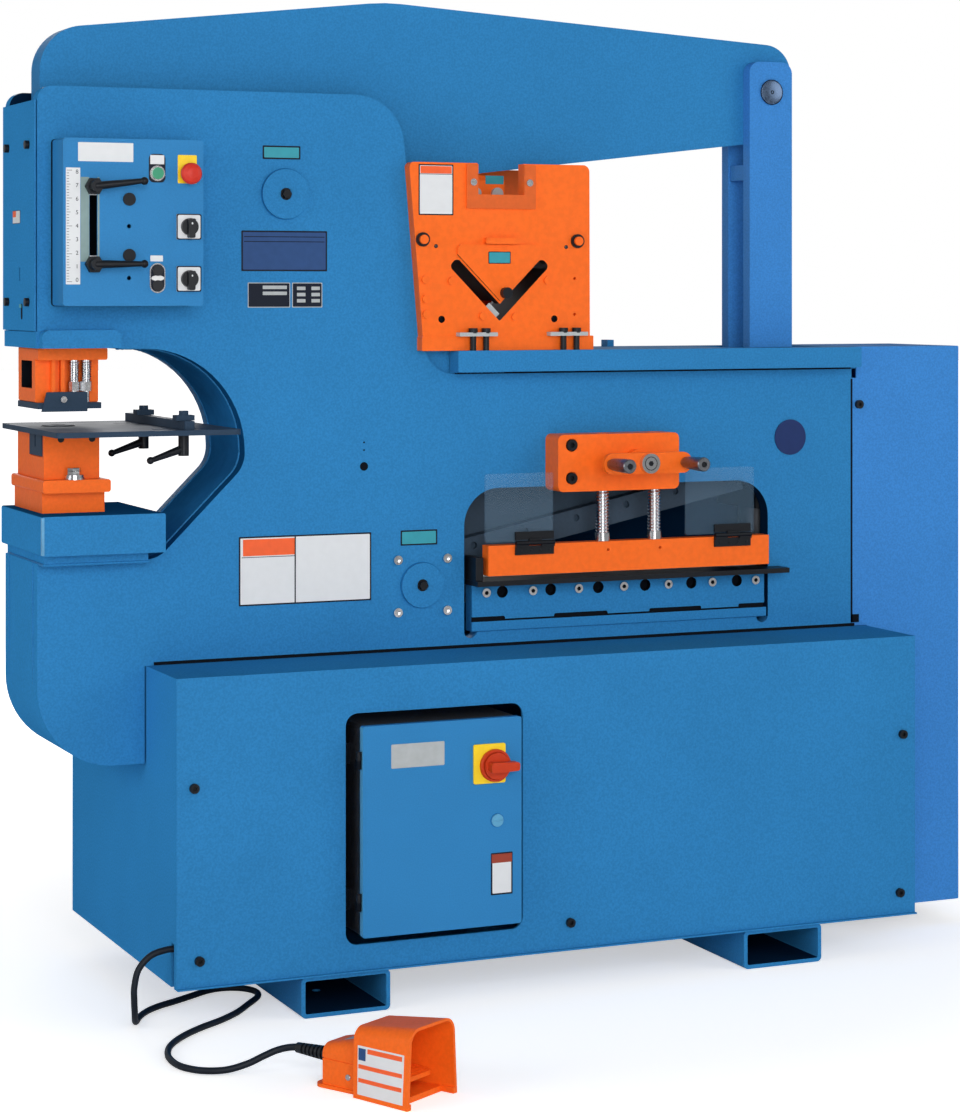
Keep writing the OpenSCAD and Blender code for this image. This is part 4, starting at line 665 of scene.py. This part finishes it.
def ruler():
    """The stroke scale: forty steps, with plain numbers from 0 to 8."""
    x0, x1, z0, z1 = -978, -951, 1368, 1583
    bm = bmesh.new()
    prism(bm, rounded(x0, x1, z0, z1, 1), box_front - 0.5, box_front + 0.2, 0)
    step = (z1 - z0 - 10) / 40
    for i in range(41):
        z = z0 + 5 + i * step
        w = 10 if i % 10 == 0 else 7 if i % 5 == 0 else 4.5
        prism(bm, box_points(x0 + 1.5, x0 + 1.5 + w, z - 0.4, z + 0.4), box_front - 0.7, box_front - 0.4, 1)
    add_piece("stroke_ruler", bm, [label_white, label_black], smooth=0)
    for i in range(9):
        text = bpy.data.curves.new(f"ruler_number_{i}", "FONT")
        text.body = str(i)
        text.size = 0.011
        text.extrude = 0.0001
        text.align_x = "CENTER"
        text.align_y = "CENTER"
        text.materials.append(label_black)
        o = bpy.data.objects.new(f"ruler_number_{i}", text)
        scene.collection.objects.link(o)
        o.location = ((x1 - 6) * MM, (box_front - 0.6) * MM, (z0 + 8 + i * (z1 - z0 - 16) / 8) * MM)
        o.rotation_euler = (math.radians(90), 0, 0)
        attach(o, "frame")


slot_strip()
jog_lens()
ruler()

# the angle shear and its ram
label("angle_sign", -254, -180, 1505, 1605, angle_face, label_white, label_black, border=2.5,
    bars=[(0.05, 0.95, 0.82, 0.965, label_orange), (0.03, 0.97, 0.8, 0.812, label_black)])
label("teal_plate_angle", -106, -58, 1410, 1434, angle_face - 4, label_teal, label_black, border=1.5)
label("teal_plate_ram", -78, -38, 1571, 1588, RAM_FACE, label_teal, body="angle_ram")

# the nose's cover, which looks to the left
facing_left = Matrix.Translation((-1015, 0, 0)) @ Matrix.Rotation(math.radians(-90), 4, "Z")
label("nose_sign", 4, 60, 1484, 1509, 0, label_white, label_black, border=1,
    bars=[(0.03, 0.45, 0.5, 0.97, label_orange)], turn=facing_left)
# painted shade: a dark field for the slot in the nose's cover
label("nose_slot", 66, 77, 1302, 1332, 0, dark, r=5, t=0.4, turn=facing_left)
label("nose_tab", 54, 71, 1324, 1331, 0, label_teal, r=2, t=0.9, turn=facing_left)


# ---- small turned pieces -----------------------------------------------------


def gasket():
    """The dark seal between the control box and the frame; its darkness is partly painted shade of the gap.
    """
    x0, x1, z0, z1 = -983.8, -713.2, 1327.2, 1638.8
    outer, inner = rounded(x0, x1, z0, z1, 7), rounded(x0 + 3, x1 - 3, z0 + 3, z1 - 3, 5)
    back, front = plate_face, plate_face - 8
    bm = bmesh.new()
    rows = [[bm.verts.new((x, y, z)) for x, z in pts]
        for pts, y in ((outer, back), (outer, front), (inner, front), (inner, back))]
    for a, b in zip(rows, rows[1:] + rows[:1]):
        for k in range(len(a)):
            j = (k + 1) % len(a)
            bm.faces.new((a[k], b[k], b[j], a[j]))
    bmesh.ops.recalc_face_normals(bm, faces=bm.faces)
    add_piece("control_box_gasket", bm, dark, smooth=0)


gasket()


def heads(name, spots, y, r, h, m, body="frame"):
    """Domed screw heads with a recess: r is the radius and h the height."""
    bm = bmesh.new()
    h += 0.3
    profile = [(r, 0), (r, h * 0.35), (r * 0.8, h * 0.8), (r * 0.45, h), (r * 0.4, h * 0.55), (0, h * 0.55)]
    for x, z in spots:
        lathe(bm, profile, to_front(x, y + 0.3, z), 20)
    add_piece(name, bm, m, body)


heads("angle_plate_screws", [(-217, 1444), (66, 1444)], angle_face, 4, 2.5, dark_steel)
for which, x in ("left", -56), ("right", 391):
    spots = [(x + dx, 841) for dx in (12, 34, 54, 74)]
    heads(f"hinge_screws_{which}", spots, -217, 2.6, 1.2, black, "hold_down")


def helix(bm, x, y, z0, z1, root, crest, pitch, n=24, per=8):
    """A threaded rod: a grid whose radius follows a thread form along the helix."""
    rows = int((z1 - z0) / pitch * per)
    grid = []
    for i in range(rows + 1):
        z = z0 + (z1 - z0) * i / rows
        ring = []
        for k in range(n):
            a = math.tau * k / n
            u = ((z - z0) / pitch - k / n) % 1.0
            r = root + (crest - root) * (1 - abs(2 * u - 1))
            ring.append(bm.verts.new((x + r * math.cos(a), y + r * math.sin(a), z)))
        grid.append(ring)
    for a, b in zip(grid, grid[1:]):
        for k in range(n):
            j = (k + 1) % n
            bm.faces.new((a[k], a[j], b[j], b[k]))
    bm.faces.new(grid[0][::-1])
    bm.faces.new(grid[-1])


def lead_screws():
    """The two threaded screws of the hold-down, with their collars."""
    low, high = node_box("lead_screws")
    x_mid = (low[0] + high[0]) / 2
    y = (low[1] + high[1]) / 2
    z0 = low[2]
    collar = [(0, 0), (10.9, 0), (10.9, 38.5), (15.5, 38.5), (15.5, 54.3), (12.2, 54.3), (0, 54.3)]
    bm = bmesh.new()
    for x in x_mid - 58.5, x_mid + 58.5:
        lathe(bm, collar, Matrix.Translation((x, y, z0)), 32)
        helix(bm, x, y, z0 + 54, high[2], 11.2, 14.4, 6.5)
    o = add_piece("threaded_lead_screws", bm, chrome, "hold_down", smooth=50)
    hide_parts("lead_screws")


def stud_threads():
    """The threads of the stripper's two studs."""
    bm = bmesh.new()
    for x in (-928, -904):
        helix(bm, x, -122.5, 1183, 1225, 8.2, 10.8, 4.6, 20, 6)
    add_piece("stripper_stud_threads", bm, chrome, smooth=50)


def die_bolt_washers():
    """The washers and the hexagon head of the die holder's bolt."""
    place = Matrix.Translation((DIE_X, -164, node_box("die_holder")[0][2] + 63))
    bm = bmesh.new()
    lathe(bm, [(13.5, 0.3), (19, 0.3), (19, 4.6), (17.5, 4.8), (17.5, 9), (13.5, 9.4)], place, 40)
    lathe(bm, [(13, 15), (13, 21.5), (11.5, 22.5), (0, 22.5)], place, 6)
    add_piece("die_bolt_washers", bm, chrome)


def anvil_edge():
    """A painted highlight: a lighter blue strip along the anvil block's front left edge."""
    low, high = node_box("anvil_block")
    edge = box_points(low[0] - 0.4, low[0] + 5, high[2] - 71, high[2] - 2)
    bm = bmesh.new()
    prism(bm, edge, low[1] - 0.4, low[1] + 5)
    add_piece("anvil_edge", bm, highlight_blue)


def grip_sockets():
    """The hexagon sockets in the crank's grips and hub, and the hub's ring, drawn as flat black pieces:
    painted shade.
    """
    hub_x, hub_z, reach = 203, 1012, 82
    bm = bmesh.new()
    for x in hub_x - reach, hub_x + reach:
        prism(bm, circle(x, hub_z, 4.6, 6), -368.6, -367.9)
        prism(bm, circle(x, hub_z, 5.9), -368.3, -367.9)
    prism(bm, circle(hub_x, hub_z, 5.6, 6), GEAR_FACE - 72.4, GEAR_FACE - 71.9)
    groove(bm, to_front(hub_x, GEAR_FACE - 72, hub_z), 12.4, 1.4, -0.3, 0.4, 40)
    add_piece("grip_sockets", bm, black, "crank_bar", smooth=0)


def column_pin_face():
    """The bright end of the column's upper pin, with its centre and rim; the dark centre and the dark ring
    round the rim are painted shade.
    """
    place = to_front(585, node_box("column_straps")[0][1], 1775)
    bm = bmesh.new()
    lathe(bm, [(24.8, -0.5), (24.8, 0.6), (22, 1.4), (7, 2.4), (4, 2.4)], place, 48)
    lathe(bm, [(4.4, 2.2), (0, 2.2)], place, 24, 1)
    lathe(bm, [(2, 2.6), (0, 2.6)], place, 16)
    groove(bm, place, 25.1, 1.5, -0.5, 0.3, 48, 1)
    add_piece("column_pin_face", bm, [pin_steel, dark], "column")


def door_details():
    """The ring of the disconnect switch, and a darker ring round the latch: painted shade for its groove."""
    low, high = node_box("disconnect_handle")
    place = to_front(low[0] + 25, door_face - 4.2, (low[2] + high[2]) / 2)
    bm = bmesh.new()
    lathe(bm, [(31, 0), (31, 7), (29.5, 8.5), (27, 8.5), (26, 6), (20, 6), (20, 0)], place, 48)
    add_piece("disconnect_ring", bm, rotary_red, "electrical_door")
    low, high = node_box("door_latch")
    place = to_front((low[0] + high[0]) / 2, door_face, (low[2] + high[2]) / 2)
    bm = bmesh.new()
    groove(bm, place, 12.2, 1.4, -0.2, 0.5, 40)
    add_piece("latch_groove_shade", bm, mid_shade_blue, "electrical_door")


def pivot_grooves():
    """Darker rings round the two pivot pins: painted shade for their fine grooves."""
    bm = bmesh.new()
    for (x, z), r in zip((UPPER_PIVOT, LOWER_PIVOT), PIVOT_R):
        groove(bm, to_front(x, plate_face, z), r + 0.1, 1.8, -0.2, 0.5, 64)
    add_piece("pivot_grooves", bm, mid_shade_blue)


def angle_slot():
    """The steel edge in the V slot, and dark discs at the bottoms of the plate's holes as painted shade."""
    x, z = V_APEX[0], V_APEX[1] - 17
    edge = [(x - 15, z + 15), (x - 37, z + 37), (x - 20.5, z + 53.5), (x + 1.5, z + 31.5)]
    bm = bmesh.new()
    prism(bm, edge, angle_face + 5, angle_face + 6)
    add_piece("slot_steel", bm, label_grey, smooth=0)
    bm = bmesh.new()
    for x in ANGLE_HOLES_X:
        prism(bm, circle(x, ANGLE_HOLES_Z, 6.9, 24), angle_face + 6, angle_face + 7)
    add_piece("angle_hole_shade", bm, dark, smooth=0)


lead_screws()
stud_threads()
die_bolt_washers()
anvil_edge()
grip_sockets()
column_pin_face()
door_details()
pivot_grooves()
angle_slot()


# ---- weld beads and seams ----------------------------------------------------


def bead(bm, path, r):
    """A rippled weld bead along a list of points."""
    step, n = 4.0, 8
    pts = [Vector(p) for p in path]
    run = []
    for a, b in zip(pts, pts[1:]):
        k = max(1, int((b - a).length / step))
        run += [a.lerp(b, i / k) for i in range(k)]
    run.append(pts[-1])
    rings = []
    for i, p in enumerate(run):
        d = (run[min(i + 1, len(run) - 1)] - run[max(i - 1, 0)]).normalized()
        side = d.cross(Vector((0, 0, 1)))
        side = side.normalized() if side.length > 0.1 else Vector((1, 0, 0))
        up = side.cross(d)
        q = r * (0.85 + 0.2 * (i % 2) + 0.08 * math.sin(i * 2.3))
        rings.append([bm.verts.new(p + q * (side * c + up * s)) for c, s in circle(0, 0, 1, n)])
    for a, b in zip(rings, rings[1:]):
        for k in range(n):
            bm.faces.new((a[k], a[(k + 1) % n], b[(k + 1) % n], b[k]))
    bm.faces.new(rings[0][::-1])
    bm.faces.new(rings[-1])


def weld_beads():
    """The beads of the anvil block, the nose, the table's bar and the throat."""
    low = node_box("anvil_block")[0]
    bm = bmesh.new()
    # the anvil block on the lower nose
    corner = (low[0] + 12, plate_face - 34, 848)
    bead(bm, [corner, (-806, plate_face - 34, 848), (-806, plate_face - 1, 848)], 3.0)
    bead(bm, [corner, (low[0] + 12, 60, 848)], 3.0)
    # the nose web between the plates
    for y in plate_face + 32, plate_face + 212:
        bead(bm, [(-1010.5, y, 846), (-1010.5, y, 700), (-1009, y, 620)], 2.4)
    # the front bar of the table, under its left end
    bead(bm, [(-176, plate_face - 1, 1196), (-60, plate_face - 1, 1196)], 3.0)
    # both edges of the throat web, round an arc of 199 mm and down the slope to the anvil
    quarter = [math.pi / 2 * k / 24 for k in range(25)]
    arc = [(-803 + 199 * math.sin(t), 1048 + 199 * math.cos(t)) for t in quarter]
    web = [(-850, 1247)] + arc + [(-604, 1046), (-606, 1033), (-611, 1018), (-621, 1004), (-776, 849)]
    for y in plate_face + 33, plate_face + 211:
        bead(bm, [(x, y, z) for x, z in web], 2.6)
    add_piece("weld_beads", bm, blue, smooth=60)


def seams():
    """Dark joints in front of the frame's plate with painted shade in them, and what fills its corners and
    slots.
    """
    back = plate_face + 0.2
    # the joint with the column's cover and under the table's bar, drawn dark as painted shade
    bm = bmesh.new()
    prism(bm, box_points(743.2, 747.2, 655, 1170), plate_face - 0.7, back)
    prism(bm, box_points(743.2, 763, 655, 672), plate_face - 0.7, back)
    prism(bm, box_points(-166, 743, 1191, 1194), plate_face - 1.2, back)
    add_piece("cover_seam", bm, dark, smooth=0)
    # painted shade: a dark strip in the joint along the top of the base, and dark discs for three tooling
    # holes
    bm = bmesh.new()
    prism(bm, box_points(-785, 752, 647.4, 653.6), plate_face - 0.7, back)
    for z, r in (1013, 8.5), (1045, 1.8), (1060, 1.8):
        prism(bm, circle(-359, z, r, 24), plate_face - 0.5, back)
    add_piece("base_joint", bm, dark, smooth=0)
    # the black stop at the left end of the feed plate
    bm = bmesh.new()
    prism(bm, rounded(-137, -121, 782, 829, 1), -206, -137)
    add_piece("feed_plate_stop", bm, black, bevel=0.8)
    # painted shade: a dark sheet at the back of the slot of the stroke stops
    bm = bmesh.new()
    prism(bm, box_points(-960, -850, 1370, 1610), plate_face - 2, plate_face - 1)
    add_piece("stop_slot_shade", bm, dark, smooth=0)
    # the sheet in the frame's corner, left of the table's bar
    bm = bmesh.new()
    prism(bm, box_points(-231, -165, 1189, 1237.5), plate_face + 8, plate_face + 12)
    add_piece("shoulder_plate", bm, blue, smooth=0)


weld_beads()
seams()


# ---- foot switch plates ------------------------------------------------------

# the foot switch's own frame: +X to its open mouth
FOOT = Matrix.Translation((-638, -763, 0)) @ Matrix.Rotation(math.radians(-59.7), 4, "Z")


def patch(name, surface, bars):
    """Thin fields that follow a surface: (u0, u1, v0, v1, lift, material) each."""
    nu, nv = 10, 6
    rim = [(i, 0) for i in range(nu)] + [(nu, j) for j in range(nv)]
    rim += [(i, nv) for i in range(nu, 0, -1)] + [(0, j) for j in range(nv, 0, -1)]
    bm = bmesh.new()
    mats = []
    for u0, u1, v0, v1, lift, m in bars:
        if m not in mats:
            mats.append(m)
        us = [u0 + (u1 - u0) * i / nu for i in range(nu + 1)]
        vs = [v0 + (v1 - v0) * j / nv for j in range(nv + 1)]
        top, low = ([[bm.verts.new(FOOT @ surface(u, v, h)) for v in vs] for u in us] for h in (lift, -0.3))
        fs = []
        for i in range(nu):
            for j in range(nv):
                fs.append(bm.faces.new((top[i][j], top[i + 1][j], top[i + 1][j + 1], top[i][j + 1])))
                fs.append(bm.faces.new((low[i][j], low[i][j + 1], low[i + 1][j + 1], low[i + 1][j])))
        for (i, j), (p, q) in zip(rim, rim[1:] + rim[:1]):
            fs.append(bm.faces.new((top[i][j], low[i][j], low[p][q], top[p][q])))
        for f in fs:
            f.material_index = mats.index(m)
    bmesh.ops.recalc_face_normals(bm, faces=bm.faces)
    add_piece(name, bm, mats, smooth=0)


def on_foot(start, way):
    """Where a ray in the foot switch's own frame meets its body."""
    hit, spot, *_ = NODES["foot_switch_body"].ray_cast((FOOT @ start) * MM, FOOT.to_3x3() @ way)
    return FOOT.inverted() @ (spot / MM) if hit else start


def hood_side(x, z, lift):
    """The hood's left side."""
    p = on_foot(Vector((x, -150, z)), Vector((0, 1, 0)))
    return Vector((x, p.y - lift, z))


def lid_top(x, y, lift):
    """The top of the rear housing."""
    p = on_foot(Vector((x, y, 200)), Vector((0, 0, -1)))
    return Vector((x, y, p.z + lift))


patch("foot_switch_sign", hood_side, [
    (92, 194, 8, 90, 0.5, label_white),
    (114, 190, 79, 87, 0.8, label_orange),
    (94, 110, 66, 86, 0.8, label_navy),
    (94, 191, 52, 59, 0.8, label_orange),
    (94, 191, 29, 36, 0.8, label_orange),
])
patch("foot_switch_lid_plate", lid_top, [(34, 80, -22, 20, 0.5, label_grey)])
bm = bmesh.new()
side = FOOT @ to_front(58, hood_side(58, 26, 0).y, 26)
lathe(bm, [(5.2, -0.5), (5.2, 1.6), (4.4, 2.2), (2.4, 2.2), (2.2, 1.0), (0, 1.0)], side, 24)
add_piece("foot_switch_side_screw", bm, steel)


# ---- floor, light and background ---------------------------------------------


def set_inputs(node, **values):
    for k, v in values.items():
        node.inputs[k.replace("_", " ")].default_value = v


def math_node(nodes, operation):
    node = nodes.new("ShaderNodeMath")
    node.operation = operation
    return node


def make_floor():
    """A pale floor that glows into the background away from the machine, for the camera alone."""
    half = 40
    bm = bmesh.new()
    for x, y in ((-half, -half), (half, -half), (half, half), (-half, half)):
        bm.verts.new((x, y, 0))
    bm.faces.new(bm.verts)
    me = bpy.data.meshes.new("floor")
    bm.to_mesh(me)
    bm.free()
    floor = bpy.data.objects.new("floor", me)
    scene.collection.objects.link(floor)
    floor.location.z = -0.0005
    pale = new_material("pale_floor", (0.93, 0.93, 0.93), 0.9, Emission_Color=(1, 1, 1, 1))
    n, l, b = tools(pale)
    away = n.new("ShaderNodeVectorMath")
    away.operation = "LENGTH"
    l.new(coords(pale), away.inputs[0])
    glow = n.new("ShaderNodeMapRange")
    set_inputs(glow, From_Min=0.9, From_Max=3.2, To_Min=0.5, To_Max=1.0)
    l.new(away.outputs["Value"], glow.inputs["Value"])
    seen = math_node(n, "MULTIPLY")
    l.new(glow.outputs["Result"], seen.inputs[0])
    l.new(n.new("ShaderNodeLightPath").outputs["Is Camera Ray"], seen.inputs[1])
    l.new(seen.outputs[0], b.inputs["Emission Strength"])
    me.materials.append(pale)


def make_world():
    """White for the camera and through clear plastic, and a dim studio for everything else."""
    world = bpy.data.worlds.new("studio")
    scene.world = world
    world.use_nodes = True
    n, l = world.node_tree.nodes, world.node_tree.links
    background = n["Background"]
    background.inputs["Color"].default_value = (1, 1, 1, 1)
    path = n.new("ShaderNodeLightPath")
    seen = math_node(n, "MAXIMUM")
    l.new(path.outputs["Is Camera Ray"], seen.inputs[0])
    l.new(path.outputs["Is Transmission Ray"], seen.inputs[1])
    # the studio is a little brighter low down than overhead, and brighter in reflections
    sky = n.new("ShaderNodeSeparateXYZ")
    l.new(n.new("ShaderNodeTexCoord").outputs["Generated"], sky.inputs[0])
    walls = n.new("ShaderNodeMapRange")
    set_inputs(walls, From_Min=0.1, From_Max=0.9, To_Min=0.3, To_Max=0.2)
    l.new(sky.outputs["Z"], walls.inputs["Value"])
    gloss = math_node(n, "MULTIPLY_ADD")
    gloss.inputs[1].default_value = 0.15
    l.new(path.outputs["Is Glossy Ray"], gloss.inputs[0])
    l.new(walls.outputs["Result"], gloss.inputs[2])
    most = math_node(n, "MAXIMUM")
    l.new(gloss.outputs[0], most.inputs[0])
    l.new(seen.outputs[0], most.inputs[1])
    l.new(most.outputs[0], background.inputs["Strength"])


def area(name, loc, target, size, power):
    """A soft square lamp that looks at a target."""
    lamp = bpy.data.lights.new(name, "AREA")
    lamp.size = size
    lamp.energy = power
    o = bpy.data.objects.new(name, lamp)
    scene.collection.objects.link(o)
    o.location = loc
    o.rotation_euler = (Vector(target) - Vector(loc)).to_track_quat("-Z", "Y").to_euler()


make_floor()
make_world()
area("key", (-1.6, -6.0, 2.1), (0, 0, 0.9), 3.5, 185)
area("fill", (4.5, -4.0, 2.5), (0, 0, 0.9), 3.0, 70)
area("back", (0.5, 4.5, 2.4), (0, 0, 1.0), 3.0, 60)
area("left", (-5.2, -1.6, 2.0), (0, 0, 1.0), 2.5, 60)
scene.view_settings.view_transform = "Standard"
